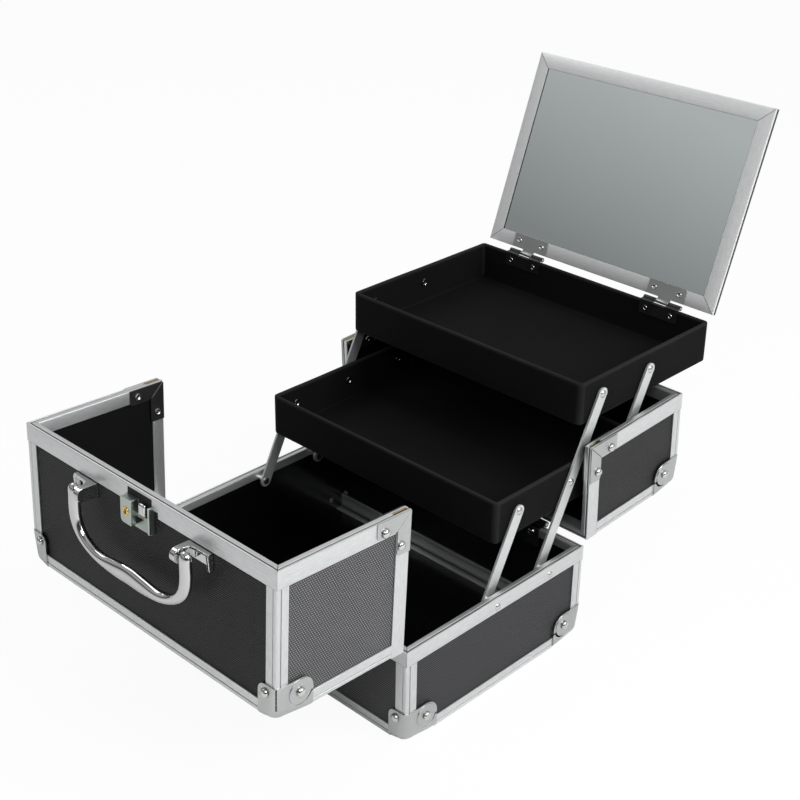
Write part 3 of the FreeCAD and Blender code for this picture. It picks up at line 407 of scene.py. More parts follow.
def angle_outline(reach):
    # A right angle with a round bead along its corner, between two fine grooves.
    bead, line, wide, deep = 2.4 * mm, 3.4 * mm, 0.5 * mm, 0.5 * mm
    brow = 0.2 * mm
    points = [(reach, 0, soft), (line + wide, 0, 0), (line, deep, 0), (line - wide, 0, brow)]
    points += [(0, 0, bead)]
    points += [(0, line - wide, brow), (deep, line, 0), (0, line + wide, 0), (0, reach, soft)]
    points += [(sheet, reach, soft), (sheet, sheet, 0), (reach, sheet, soft)]
    return rounded(points, 6)


front_y, rear_y = rim_low.y, rim_high.y
under_across, under_along, under_up = 14.2 * mm, 27.6 * mm, 22.8 * mm
rim_flange, base_inner_flange, lid_inner_flange = 11.0 * mm, 6.5 * mm, 9.5 * mm
bottom_reach, post_reach, edge_reach = 8.5 * mm, 9.5 * mm, 9.0 * mm
smooth_below = 25


def base_corner(sx, sy, z):
    return Vector((sx * half_width, front_y if sy < 0 else rear_y, z))


def base_ring(bm, outline, z, second, short_x, short_y, cut):
    # Four bars round the base, each short of the corners by these lengths.
    width, depth = 2 * (half_width - short_x), rear_y - front_y - 2 * short_y
    for s in (-1, 1):
        add_bar(bm, outline, base_corner(-1, s, z) + X * short_x, Y * -s, second, X, width, cut, cut)
        add_bar(bm, outline, base_corner(s, -1, z) + Y * short_y, X * -s, second, Y, depth, cut, cut)


def frame_piece(name, bm, body, node):
    as_piece(finished_mesh(name, bm, smooth_below), aluminium, body, "trim", node)


bm = bmesh.new()
base_ring(bm, rim_outline(rim_flange, base_inner_flange), rim_high.z, -Z, 0.0, 0.0, mitre)
frame_piece("base_rim", bm, "base", "base_rim_trims")

bm = bmesh.new()
bottom_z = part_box("base_bottom_trims")[0].z
base_ring(bm, angle_outline(bottom_reach), bottom_z, Z, under_across, under_along, square)
frame_piece("base_bottom_edges", bm, "base", "base_bottom_trims")

bm = bmesh.new()
post = angle_outline(post_reach)
post_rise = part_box("base_corner_posts")[1].z - under_up
for sx in (-1, 1):
    for sy in (-1, 1):
        foot = base_corner(sx, sy, under_up)
        add_bar(bm, post, foot, X * -sx, Y * -sy, Z, post_rise)
frame_piece("base_posts", bm, "base", "base_corner_posts")

split_flange = 12.5 * mm
split_mitre = (0, 1)
notched_flange = 8.6 * mm
lock_notch = (-14.4 * mm, 15.4 * mm)


def lid_frame(body, inward):
    # A lid's rim round its opening, and the beaded angles along its closed corners.
    low, high = drawn_box(body + "_rim_trims", body)
    wall_y, split_y = (low.y, high.y) if inward.y > 0 else (high.y, low.y)
    depth = high.y - low.y
    width = 2 * half_width
    bm = bmesh.new()
    side_rim = rim_outline(rim_flange, lid_inner_flange)
    split_rim = rim_outline(split_flange, lid_inner_flange)
    add_bar(bm, side_rim, Vector((-half_width, wall_y, low.z)), inward, Z, X, width, mitre, mitre)
    runs = [(split_rim, -half_width, half_width, mitre, mitre)]
    if body == "front_lid":
        left, right = lock_notch
        notched = rim_outline(notched_flange, lid_inner_flange)
        runs = [(split_rim, -half_width, left, mitre, square), (notched, left, right, square, square)]
        runs += [(split_rim, right, half_width, square, mitre)]
    for outline, start, end, start_cut, end_cut in runs:
        corner = Vector((start, split_y, high.z))
        add_bar(bm, outline, corner, -Z, -inward, X, end - start, start_cut, end_cut)
    for sx in (-1, 1):
        x = sx * half_width
        add_bar(bm, side_rim, Vector((x, wall_y, low.z)), X * -sx, Z, inward, depth, mitre, split_mitre)
        foot = Vector((x, split_y, low.z))
        add_bar(bm, split_rim, foot, X * -sx, -inward, Z, high.z - low.z, split_mitre, mitre)
    frame_piece(body + "_rim", bm, body, body + "_rim_trims")
    bm = bmesh.new()
    edge = angle_outline(edge_reach)
    left_end = Vector((under_across - half_width, wall_y, high.z))
    add_bar(bm, edge, left_end, inward, -Z, X, width - 2 * under_across)
    for sx in (-1, 1):
        corner = Vector((sx * half_width, wall_y, high.z))
        run = depth - split_flange - under_up
        add_bar(bm, edge, corner + inward * under_up, X * -sx, -Z, inward, run)
        foot = Vector((sx * half_width, wall_y, low.z + rim_flange))
        rise = high.z - low.z - rim_flange - under_along
        add_bar(bm, post, foot, X * -sx, inward, Z, rise)
    frame_piece(body + "_edges", bm, body, body + "_edge_trims")


lid_frame("front_lid", Y)
lid_frame("rear_lid", -Y)

# Foot strip: a grooved aluminium angle along the foot of the base's rear wall, inside.
# It covers the joint between the wall's lining and the floor's.
lining_low, lining_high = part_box("base_lining")
lining_thick = 0.8 * mm
wall_foot = Vector((lining_low.x, lining_high.y, lining_low.z)) + Vector((1, -1, 1)) * lining_thick
foot_high, foot_reach, foot_thick, toe_thick = 11.6 * mm, 7.0 * mm, 1.2 * mm, 0.8 * mm
line_half, line_deep = 0.3 * mm, 0.5 * mm
foot_strip = [(0, 0, 0), (foot_reach, 0, 0), (foot_reach, toe_thick, 0.2 * mm)]
foot_strip += [(foot_thick, toe_thick, 0)]
for line in (2.9 * mm, 9.2 * mm):
    foot_strip += [(foot_thick, line - line_half, 0), (foot_thick - line_deep, line, 0)]
    foot_strip += [(foot_thick, line + line_half, 0)]
foot_strip += [(foot_thick, foot_high, 0.3 * mm), (0, foot_high, 0)]
bm = bmesh.new()
add_bar(bm, rounded(foot_strip, 3), wall_foot, -Y, Z, X, -2 * wall_foot.x)
as_piece(finished_mesh("base_foot_strip", bm, smooth_below), aluminium, "base", "trim")

# Ball corners: nickel-plated steel caps, drawn from sheet over a die and riveted through the trim.
# Each has a disc pressed round its side rivet, with a crescent gap under the disc's outer edge.
nickel = Finish("nickel_plate", {"Metallic": 1.0})
cloud = nickel.noise(nickel.place(), 60, 4)
scratch = nickel.noise(nickel.stretched(nickel.place(), (900, 160, 700)), 1, 2)
nickel.feed({
    "Base Color": nickel.shade(cloud, (0.43, 0.445, 0.44), (0.54, 0.555, 0.55)),
    "Roughness": 0.22 + cloud * 0.10 + scratch * 0.06,
    "Normal": nickel.relief(scratch, 0.02 * mm, 0.4),
})


def soften(piece, width):
    # Breaks a piece's sharp edges, as tumbling or pressing does.
    weld = piece.modifiers.new("weld", "WELD")
    weld.merge_threshold = 0.002 * mm
    flat = piece.modifiers.new("flat", "DECIMATE")
    flat.decimate_type = "DISSOLVE"
    flat.angle_limit = math.radians(0.4)
    edge = piece.modifiers.new("edge", "BEVEL")
    edge.width = width
    edge.segments = 2
    edge.limit_method = "ANGLE"
    edge.angle_limit = math.radians(35)
    edge.harden_normals = True


def press(names, finish, width):
    dress(names, finish)
    for name in names:
        soften(frame["nodes"][name], width)


press(("base_ball_corners", "front_lid_ball_corners", "rear_lid_ball_corners"), nickel, 0.3 * mm)

# Rivets: nickel-plated steel with domed heads, set through the corners, brackets and hinge leaves.
# A head overhangs its seat a little, which leaves a dark line round it.
polished_nickel = Finish("polished_nickel", {"Metallic": 1.0})
cloud = polished_nickel.noise(polished_nickel.place(), 250, 4)
polished_nickel.feed({
    "Base Color": polished_nickel.shade(cloud, (0.55, 0.545, 0.52), (0.66, 0.655, 0.63)),
    "Roughness": 0.10 + cloud * 0.10,
})
dome = [(0.80, 0.0), (0.84, 0.10), (1.0, 0.16), (1.0, 0.24), (0.95, 0.40), (0.82, 0.55), (0.62, 0.67)]
dome += [(0.40, 0.745), (0.20, 0.785), (0.0, 0.80)]
eyelet = [(1.0, 0.0), (1.0, 0.14), (0.92, 0.26), (0.78, 0.30), (0.62, 0.24), (0.52, 0.10)]
eyelet += [(0.30, 0.05), (0.0, 0.04)]
head_rim = 0.97
head_sides = 24
head_smooth_below = 40


def fasteners(node, body):
    # Each fastener's seat, the way its head faces and the head's radius, as drawn.
    bm = bmesh.new()
    bm.from_mesh(frame["nodes"][node].data)
    bm.transform(turn.get(body, still).inverted())
    bmesh.ops.remove_doubles(bm, verts=bm.verts, dist=0.001 * mm)
    found = []
    left = set(bm.verts)
    while left:
        island, open_ends = [], [left.pop()]
        while open_ends:
            vert = open_ends.pop()
            island.append(vert.co.copy())
            for edge in vert.link_edges:
                near = edge.other_vert(vert)
                if near in left:
                    left.remove(near)
                    open_ends.append(near)
        low = Vector([min(p[i] for p in island) for i in range(3)])
        high = Vector([max(p[i] for p in island) for i in range(3)])
        size, middle = high - low, (high + low) / 2
        axis = min(range(3), key=lambda i: abs(size[i - 1] - size[i - 2]))
        radius = size[axis - 1] / 2
        offsets = [(p - middle, p[axis]) for p in island]
        outside = head_rim * radius
        rim = [level for off, level in offsets if math.hypot(off[axis - 1], off[axis - 2]) > outside]
        way = Vector((0, 0, 0))
        way[axis] = 1.0 if (min(rim) + max(rim)) / 2 > middle[axis] else -1.0
        middle[axis] = min(rim) if way[axis] > 0 else max(rim)
        found.append((middle, way, radius))
    bm.free()
    found.sort(key=lambda one: tuple(one[0]))
    return found


def add_round(bm, profile, place, way, size):
    # A turned head: the profile of (radius, height) shares swept about its axis.
    side = way.orthogonal().normalized()
    other = way.cross(side)
    rows = []
    for radius, height in profile:
        row = []
        for k in range(head_sides if radius > 0 else 1):
            a = 2 * math.pi * k / head_sides
            out = (side * math.cos(a) + other * math.sin(a)) * (radius * size)
            row.append(bm.verts.new(place + out + way * (height * size)))
        rows.append(row)
    bm.faces.new(list(reversed(rows[0])))
    for row, after in zip(rows, rows[1:]):
        for k in range(head_sides):
            inner = [after[k], after[k - 1]] if len(after) > 1 else [after[0]]
            bm.faces.new([row[k - 1], row[k]] + inner)


def heads(name, body, profile, grow, finish, *nodes):
    bm = bmesh.new()
    for node in nodes:
        for place, way, radius in fasteners(node, body):
            add_round(bm, profile, place, way, radius * grow)
    as_piece(finished_mesh(name, bm, head_smooth_below), finish, body, "hardware", *nodes)


head_overhang = 1.12
for body in ("base", "front_lid", "rear_lid"):
    heads(body + "_rivet_heads", body, dome, head_overhang, polished_nickel, body + "_rivets")

tail_radius = 2.1 * mm
corner_rivets_below = 30 * mm


def on_lining(place, way):
    # The spot where a corner's rivet comes through the lining.
    if abs(way.y) > 0.5:
        wall_y = wall_foot.y if way.y > 0 else lining_low.y + lining_thick
        return Vector((place.x, wall_y, place.z))
    return Vector((math.copysign(wall_foot.x, place.x), place.y, place.z))


bm = bmesh.new()
for place, way, radius in fasteners("base_rivets", "base"):
    if abs(way.z) < 0.5 and place.z < corner_rivets_below:
        add_round(bm, eyelet, on_lining(place, way), -way, tail_radius)
as_piece(finished_mesh("base_rivet_tails", bm, head_smooth_below), polished_nickel, "base", "hardware")

# Corner brackets: at each lid's free corners, two mitred legs of plated sheet outside and a pressed
# pair inside, riveted through the rim. The inner pair is coloured black as painted shade.
black_steel = Finish("black_steel", {"Metallic": 0.0, "Specular IOR Level": 0.5})
cloud = black_steel.noise(black_steel.place(), 120, 4)
black_steel.feed({
    "Base Color": black_steel.shade(cloud, (0.008, 0.008, 0.009), (0.016, 0.016, 0.017)),
    "Roughness": 0.30 + cloud * 0.15,
})
brass = Finish("turned_brass", {"Metallic": 1.0})
haze = brass.noise(brass.place(), 200, 3)
brass.feed({
    "Base Color": brass.shade(haze, (0.66, 0.42, 0.10), (0.84, 0.60, 0.22)),
    "Roughness": 0.16 + haze * 0.1,
})
bracket_leg, bracket_wide, bracket_round = 28.0 * mm, 11.0 * mm, 2.0 * mm
bracket_thick, bracket_seam = 0.8 * mm, 0.25 * mm
inner_thick, inner_seam = 0.6 * mm, 0.7 * mm
rivet_near, rivet_far, ring_radius = 5.5 * mm, 21.5 * mm, 2.6 * mm
pressed_edge = 0.2 * mm
slot_from, slot_long = 1.5 * mm, 11.0 * mm
slot_smooth_below = 30


def bracket(bm, corner, along, up, out, thick, seam):
    # Two legs of one L, mitred at the corner with a seam between them.
    leg = [(seam, 0, 0), (bracket_leg, 0, soft), (bracket_leg, bracket_wide, bracket_round)]
    leg += [(bracket_wide + seam, bracket_wide, 0)]
    outline = rounded(leg, 4)
    for first, second in ((along, up), (up, along)):
        add_bar(bm, outline, corner, first, second, out, thick)


def oblong(left, bottom, right, top):
    return [Vector((left, bottom)), Vector((right, bottom)), Vector((right, top)), Vector((left, top))]


def free_corners(body, inward):
    # A lid's brackets, and thin black strips between outer and inner ones, painted shade for the slots
    # there, each with a brass shim.
    low, high = drawn_box(body + "_rim_trims", body)
    split_y = high.y if inward.y > 0 else low.y
    outer, inner, rings = bmesh.new(), bmesh.new(), bmesh.new()
    for sx in (-1, 1):
        corner = Vector((sx * half_width, split_y, low.z))
        bracket(outer, corner, -inward, Z, X * sx, bracket_thick, bracket_seam)
        inside = corner - X * sx * rim_wide
        bracket(inner, inside, -inward, Z, X * -sx, inner_thick, inner_seam)
        face = inside - X * sx * inner_thick
        for along, up in ((rivet_far, rivet_near), (rivet_near, rivet_far)):
            add_round(rings, eyelet, face - inward * along + Z * up, X * -sx, ring_radius)
    mesh = finished_mesh(body + "_brackets", outer, smooth_below)
    soften(as_piece(mesh, nickel, body, "hardware", body + "_corner_brackets"), pressed_edge)
    # The inner pair's black finish is painted shade for brackets that sit in shadow.
    mesh = finished_mesh(body + "_inner_brackets", inner, smooth_below)
    soften(as_piece(mesh, black_steel, body, "hardware"), pressed_edge)
    mesh = finished_mesh(body + "_bracket_rivets", rings, head_smooth_below)
    as_piece(mesh, polished_nickel, body, "hardware")
    # The first row is the black strips of painted slot shade; the second is the brass shims.
    for name, near, far, rise, finish in (
        ("_painted_slot_shade", 1.2 * mm, 3.4 * mm, 0.14 * mm, black_steel),
        ("_corner_shims", 2.2 * mm, 2.9 * mm, 0.2 * mm, brass),
    ):
        bm = bmesh.new()
        for sx in (-1, 1):
            start = Vector((sx * half_width, split_y, low.z + slot_from))
            add_bar(bm, oblong(near, 0, far, rise), start, X * -sx, inward, Z, slot_long)
        as_piece(finished_mesh(body + name, bm, slot_smooth_below), finish, body, "hardware")


free_corners("front_lid", Y)
free_corners("rear_lid", -Y)

# Lid hinges: pressed steel leaves rolled round a pin, and blackened.
# Each lid has two, riveted to its rim and the base's.
press(("base_hinge_leaves", "front_lid_hinge_leaves", "rear_lid_hinge_leaves"), black_steel, pressed_edge)
dress(("lid_hinge_pins",), nickel)

# Lock: a cast zinc housing with a sprung latch pawl and a turned brass key cylinder.
# The hasp on the rear lid swings over the parting edge into its recess.
cast_zinc = Finish("cast_zinc", {"Metallic": 1.0})
cloud = cast_zinc.noise(cast_zinc.place(), 150, 4)
cast_zinc.feed({
    "Base Color": cast_zinc.shade(cloud, (0.40, 0.45, 0.41), (0.52, 0.57, 0.53)),
    "Roughness": 0.24 + cloud * 0.14,
})


def cast(name, bm, grain):
    # Fuses overlapping bars into one casting with soft edges.
    rough = bpy.data.objects.new(name, finished_mesh(name, bm, slot_smooth_below))
    bpy.context.scene.collection.objects.link(rough)
    fuse = rough.modifiers.new("fuse", "REMESH")
    fuse.mode = "VOXEL"
    fuse.voxel_size = grain
    even = rough.modifiers.new("even", "SMOOTH")
    even.factor = 0.5
    even.iterations = 5
    bpy.context.view_layer.update()
    graph = bpy.context.evaluated_depsgraph_get()
    mesh = bpy.data.meshes.new_from_object(rough.evaluated_get(graph))
    bpy.data.objects.remove(rough)
    mesh.name = name
    mesh.shade_smooth()
    return mesh


lock_low, lock_high = drawn_box("lock_housing", "front_lid")
lock_left, lock_right = lock_low.x, lock_high.x - 3.0 * mm
lock_bottom, lock_top = lock_low.y, lock_high.y - 5.8 * mm
recess_left, recess_right = -3.0 * mm, lock_right - 1.6 * mm
plate_thick, raised_high, block_high, wall_high = 1.2 * mm, 2.6 * mm, 7.0 * mm, 4.4 * mm
rim_broad, slope_top, slope_end = 2.4 * mm, 3.2 * mm, lock_bottom + 9.5 * mm
outer_round, lower_round, edge_round, small_round = 4.5 * mm, 1.5 * mm, 0.5 * mm, 0.3 * mm
lock_foot = Vector((0, 0, lock_low.z))
plate = [(lock_left, lock_bottom, outer_round), (lock_right, lock_bottom, lower_round)]
plate += [(lock_right, lock_top, edge_round), (lock_left, lock_top, edge_round)]
ledge = lock_bottom + rim_broad
raised = [(lock_left, lock_bottom, outer_round), (lock_right, lock_bottom, lower_round)]
raised += [(lock_right, ledge, 0.4 * mm), (lock_left + 4.0 * mm, ledge, 2.0 * mm)]
raised += [(lock_left + 2.0 * mm, lock_top, 0), (lock_left, lock_top, 0)]
block_left, block_bottom = lock_left + 0.6 * mm, lock_bottom + 2.2 * mm
block = [(block_left, block_bottom, 3.0 * mm), (recess_left, block_bottom, small_round)]
block += [(recess_left, lock_top, small_round), (block_left, lock_top, 1.0 * mm)]
wall_bottom = lock_bottom + 1.0 * mm
wall = [(recess_right, wall_bottom, 0.4 * mm), (lock_right, wall_bottom, 0.6 * mm)]
wall += [(lock_right, lock_top, 0.6 * mm), (recess_right, lock_top, 0.4 * mm)]
bm = bmesh.new()
for outline, steps, high in ((plate, 6, plate_thick), (raised, 6, raised_high), (block, 5, block_high),
                             (wall, 3, wall_high)):
    add_bar(bm, rounded(outline, steps), lock_foot, X, Y, Z, high)
slope = [(wall_bottom, 0, 0), (wall_bottom, slope_top, small_round), (slope_end, plate_thick, 0)]
slope += [(slope_end, 0, 0)]
recess_start = lock_foot + X * recess_left
add_bar(bm, rounded(slope, 2), recess_start, Y, Z, X, recess_right - recess_left)
as_piece(cast("lock_casting", bm, 0.22 * mm), cast_zinc, "front_lid", "hardware", "lock_housing")

# The recess and the notch above the block get a thin dull black plate: painted shade.
recess_painted_shade = Finish("recess_painted_shade", {"Specular IOR Level": 0.2})
speck = recess_painted_shade.noise(recess_painted_shade.place(), 400, 3)
recess_painted_shade.feed({
    "Base Color": recess_painted_shade.shade(speck, (0.003, 0.003, 0.003), (0.010, 0.010, 0.010)),
    "Roughness": 0.45 + speck * 0.15,
})
shade_patch_left, shade_patch_bottom, shade_patch_top = lock_left + 0.8 * mm, lock_bottom + 9.0 * mm, lock_high.y - 1.6 * mm
shade_patch_thick, gap_high = 0.15 * mm, 3.2 * mm
gap_top = lock_bottom + 6.8 * mm
# The triangular slot below is a black solid, painted shade for the slot.
gap = [(recess_left, lock_bottom + 3.0 * mm, 0), (recess_left + 4.5 * mm, gap_top, 0.2 * mm)]
gap += [(recess_left, gap_top, 0)]
painted = oblong(shade_patch_left, shade_patch_bottom, recess_right, shade_patch_top)
bm = bmesh.new()
add_bar(bm, painted, lock_foot, X, Y, Z, plate_thick + shade_patch_thick)
add_bar(bm, rounded(gap, 2), lock_foot, X, Y, Z, gap_high)
as_piece(finished_mesh("lock_recess", bm, slot_smooth_below), recess_painted_shade, "front_lid", "hardware")

press(("hasp_base", "hasp"), cast_zinc, 0.4 * mm)
dress(("hasp_pin",), nickel)
key_radius, slit_half, slit_long, slit_high = 3.0 * mm, 0.35 * mm, 1.9 * mm, 1.0 * mm
key_low, key_high = drawn_box("key_cylinder", "front_lid")
key_middle = (key_low + key_high) / 2
key_middle.z = lock_low.z + block_high - 0.3 * mm
key_face = [(1.0, 0.0), (1.0, 0.16), (0.9, 0.30), (0.72, 0.36), (0.60, 0.34), (0.50, 0.24), (0.0, 0.24)]
turn["key"] = turn["front_lid"]
turn["pawl"] = turn["front_lid"]
bm = bmesh.new()
add_round(bm, key_face, key_middle, Z, key_radius)
as_piece(finished_mesh("key_plug", bm, slot_smooth_below), brass, "key", "brass", "key_cylinder")
# The keyhole is a black bar set in the plug's face: painted shade for the hole.
bm = bmesh.new()
slit = oblong(-slit_half, -slit_long, slit_half, slit_long)
add_bar(bm, slit, key_middle, X, Y, Z, slit_high)
as_piece(finished_mesh("key_slit", bm, slot_smooth_below), black_steel, "key", "brass")

# Handle: a cast bail with a swelling grip, polished and chromed.
# Its two ends hang on pins in the saddles, and it lies against the lid when it is let go.
chrome = Finish("polished_chrome", {"Metallic": 1.0})
haze = chrome.noise(chrome.place(), 80, 3)
chrome.feed({
    "Base Color": chrome.shade(haze, (0.55, 0.555, 0.55), (0.65, 0.655, 0.65)),
    "Roughness": 0.05 + haze * 0.05,
})
press(("latch_pawl",), chrome, 0.9 * mm)
pin = turn["front_lid"].inverted() @ Vector(joint["handle_swing"]["pos_m"])
handle_half, handle_reach, handle_out = 54.0 * mm, 35.5 * mm, 1.2 * mm
grip_wide, grip_deep = 12.2 * mm, 6.7 * mm
grip_side, grip_face = 0.95, 1.05
end_reach = 0.7 * grip_deep
handle_x_shares = (1.0, 1.0, 1.004, 0.99, 0.942, 0.846, 0.69, 0.5, 0.25, 0.0)
handle_y_shares = (-0.06, 0.06, 0.26, 0.46, 0.64, 0.80, 0.925, 0.99, 0.995, 0.975)
handle_wide_shares = (0.74, 0.73, 0.74, 0.72, 0.65, 0.57, 0.56, 0.66, 0.9, 1.0)


def smooth_line(points, steps):
    # Points along a curve that passes through those given.
    line = []
    for i in range(len(points) - 1):
        p = [points[max(0, min(len(points) - 1, i + k))] for k in (-1, 0, 1, 2)]
        for k in range(steps):
            t = k / steps
            bend = (2 * p[0] - 5 * p[1] + 4 * p[2] - p[3]) * t ** 2
            twist = (3 * p[1] - p[0] - 3 * p[2] + p[3]) * t ** 3
            line.append(0.5 * (2 * p[1] + (p[2] - p[0]) * t + bend + twist))
    line.append(points[-1])
    return line


right_half = [Vector((x * handle_half, y * handle_reach, w * grip_wide))
              for x, y, w in zip(handle_x_shares, handle_y_shares, handle_wide_shares)]
left_half = [Vector((-p.x, p.y, p.z)) for p in reversed(right_half[:-1])]
stations = smooth_line(right_half + left_half, 6)
bm = bmesh.new()
grip_sides, grip_smooth_below = 28, 60
rows = []
ends = [math.radians(degrees) for degrees in (88, 66, 42, 20)]


def handle_row(station, along, shrink, push):
    # One ring of the bail at a station (x, y, width), shrunk and pushed along to round an end.
    across = Vector((along.y, -along.x, 0))
    centre = pin + Vector((station.x, -station.y, handle_out)) + along * push
    row = []
    for k in range(grip_sides):
        a = 2 * math.pi * k / grip_sides
        ca, sa = math.cos(a), math.sin(a)
        wide = math.copysign(abs(ca) ** grip_side, ca) * station.z / 2 * shrink
        deep = math.copysign(abs(sa) ** grip_face, sa) * grip_deep / 2 * shrink
        row.append(bm.verts.new(centre + across * wide + Z * deep))
    return row


for i, station in enumerate(stations):
    before, after = stations[max(i - 1, 0)], stations[min(i + 1, len(stations) - 1)]
    along = Vector((after.x - before.x, before.y - after.y, 0)).normalized()
    if i == 0:
        rows += [handle_row(station, along, math.cos(a), -math.sin(a) * end_reach) for a in ends]
    rows.append(handle_row(station, along, 1.0, 0.0))
    if i == len(stations) - 1:
        rows += [handle_row(station, along, math.cos(a), math.sin(a) * end_reach) for a in reversed(ends)]
for row, after in zip(rows, rows[1:]):
    for k in range(grip_sides):
        bm.faces.new((row[k], row[k - 1], after[k - 1], after[k]))
bm.faces.new(rows[0])
bm.faces.new(rows[-1])
mesh = finished_mesh("bail_handle", bm, grip_smooth_below)
as_piece(mesh, chrome, "bail", "chrome", "handle")

# Saddles: chromed castings, each one ear that carries the pin, with a roof and a low lip behind the
# handle's end. They are screwed on from inside the lid.
saddle_wide, ear_thick, ear_nose, ear_from = 20.6 * mm, 4.6 * mm, 5.6 * mm, 44.6 * mm
ear_below, lip_below, sole_thick = 3.8 * mm, 2.2 * mm, 1.2 * mm
roof_thick, roof_out, roof_end = 1.8 * mm, 5.2 * mm, 4.2 * mm
lip_thick, lip_out, lip_end = 2.0 * mm, 4.8 * mm, 3.4 * mm
pivot_radius, pivot_inside = 1.5 * mm, 1.0 * mm
pivot = [(1.0, 0.0), (1.0, 5.0), (0.8, 5.3), (0.0, 5.4)]
saddle_low, saddle_high = drawn_box("handle_saddles", "front_lid")
pin_out = pin.z - saddle_low.z
ear_top, ear_bottom = saddle_high.y - pin.y, -ear_below
ear_out = pin_out + ear_nose
lip_bottom = ear_bottom - lip_below
ear = [(ear_top, 0, 0), (ear_top, ear_out, 5.0 * mm), (ear_bottom + 1.2 * mm, ear_out, 4.2 * mm)]
ear += [(ear_bottom, 0, 0)]
roof = [(0, 0, 0), (0, pin_out, 0), (ear_thick, pin_out, 0), (ear_thick + 1.0 * mm, roof_out, 2.0 * mm)]
roof += [(saddle_wide, roof_end, 1.0 * mm), (saddle_wide, 0, 0)]
lip = [(ear_top, 0, 0), (ear_top, lip_out, 2.0 * mm), (lip_bottom, lip_end, 1.6 * mm), (lip_bottom, 0, 0)]
sole = oblong(ear_bottom, 0, ear_top, sole_thick)
pivots = bmesh.new()
for sx, name in ((-1, "saddle_left"), (1, "saddle_right")):
    out = X * sx
    origin = Vector((sx * ear_from, pin.y, saddle_low.z))
    under = origin + Y * (ear_top - roof_thick)
    far_end = origin + out * (saddle_wide - lip_thick)
    bm = bmesh.new()
    add_bar(bm, rounded(ear, 8), origin, Y, Z, out, ear_thick)
    add_bar(bm, rounded(roof, 5), under, out, Z, Y, roof_thick)
    add_bar(bm, rounded(lip, 5), far_end, Y, Z, out, lip_thick)
    add_bar(bm, sole, origin, Y, Z, out, saddle_wide)
    as_piece(cast(name, bm, 0.3 * mm), chrome, "front_lid", "chrome", "handle_saddles")
    add_round(pivots, pivot, Vector((sx * (ear_from + pivot_inside), pin.y, pin.z)), out, pivot_radius)
mesh = finished_mesh("handle_pivots", pivots, head_smooth_below)
as_piece(mesh, chrome, "front_lid", "chrome", "handle_pins")

# Swing arms: flat steel bar, zinc plated, with round ends.
# They turn on domed rivets through the base's walls and the trays'.
zinc = Finish("zinc_plate", {"Metallic": 0.75})
cloud = zinc.noise(zinc.place(), 90, 5)
grain = zinc.noise(zinc.place(), 900, 2)
zinc.feed({
    "Base Color": zinc.shade(cloud, (0.58, 0.60, 0.60), (0.72, 0.735, 0.735)),
    "Roughness": 0.36 + grain * 0.12,
    "Normal": zinc.relief(grain, 0.02 * mm, 0.4),
})
press(("long_arms", "front_arms", "rear_arms"), zinc, 0.3 * mm)
dress(("arm_pivots", "lower_tray_pivots", "upper_tray_pivots"), polished_nickel)

# Trays: thin board wrapped in black velvet, paler along the folds: partly rubbed wear, partly painted
# sheen.
# The wrap makes every edge round and the faces slightly uneven.
velvet = Finish("black_velvet", {"Specular IOR Level": 0.12})
nap = velvet.noise(velvet.place(), 1400, 3)
patch = velvet.noise(velvet.place(), 25, 4)
rubbed_and_sheen = velvet.node("Attribute", {"attribute_name": "rubbed_and_sheen"}, {}).other("Fac")
plain = velvet.shade(nap * 0.5 + patch * 0.5, (0.0016, 0.0016, 0.0018), (0.0062, 0.0062, 0.0066))
# The paler tone along folds and round corners: partly wear, partly painted sheen.
pale_sheen_and_wear = velvet.shade(nap * 0.4 + patch * 0.6, (0.007, 0.007, 0.0075), (0.026, 0.026, 0.0275))
velvet.feed({
    "Base Color": velvet.mixed(rubbed_and_sheen, plain, pale_sheen_and_wear),
    "Roughness": 0.75 + nap * 0.2,
    "Normal": velvet.relief(nap, 0.12 * mm, 0.5),
})
tray_wall, tray_floor, tray_round = 2.6 * mm, 2.6 * mm, 3.0 * mm
fold_near, fold_round, foot_round, least_round = 1.6 * mm, 1.2 * mm, 1.8 * mm, 1.0 * mm
fold_below, sheen_and_wear_below, ring_above, floor_ring = 2.6 * mm, 1.3 * mm, 4.0 * mm, 9.0 * mm
uneven, uneven_seed, velvet_smooth_below = 0.12 * mm, 1, 50
# How pale each fold is, partly rubbed wear and partly painted sheen.
rim_sheen_and_wear, foot_sheen_and_wear, corner_sheen_and_wear, no_sheen_or_wear, never_sheen_or_wear = 1.0, 0.8, 0.75, 0.0, -1.0
eyelet_radius, eyelet_sunk = 3.0 * mm, 0.3 * mm
edge_shares = (0.008, 0.05, 0.12, 0.2, 0.3, 0.4, 0.5, 0.6, 0.7, 0.8, 0.88, 0.95, 0.992)


def tray_ring(bm, middle, half_x, half_y, radius, height, sheen_and_wear, sheen_and_wear_layer):
    # One round-cornered ring of the tray's shell.
    corners = [(half_x, half_y), (-half_x, half_y), (-half_x, -half_y), (half_x, -half_y)]
    spots = []
    for k, (cx, cy) in enumerate(corners):
        centre = Vector((cx - math.copysign(radius, cx), cy - math.copysign(radius, cy), 0))
        for j in range(6):
            a = math.radians(90 * k + 18 * j)
            spots.append((centre + Vector((math.cos(a), math.sin(a), 0)) * radius, corner_sheen_and_wear))
        nx, ny = corners[(k + 1) % 4]
        start = spots[-1][0]
        end = Vector((nx - math.copysign(radius, nx), ny - math.copysign(radius, ny), 0)) + start - centre
        spots += [(start.lerp(end, share), no_sheen_or_wear) for share in edge_shares]
    row = []
    for spot, spot_sheen_and_wear in spots:
        place = middle + spot + Z * height
        vert = bm.verts.new(place + noise.noise_vector(place * 30) * uneven)
        vert[sheen_and_wear_layer] = max(sheen_and_wear, spot_sheen_and_wear if sheen_and_wear >= 0 else no_sheen_or_wear)
        row.append(vert)
    return row


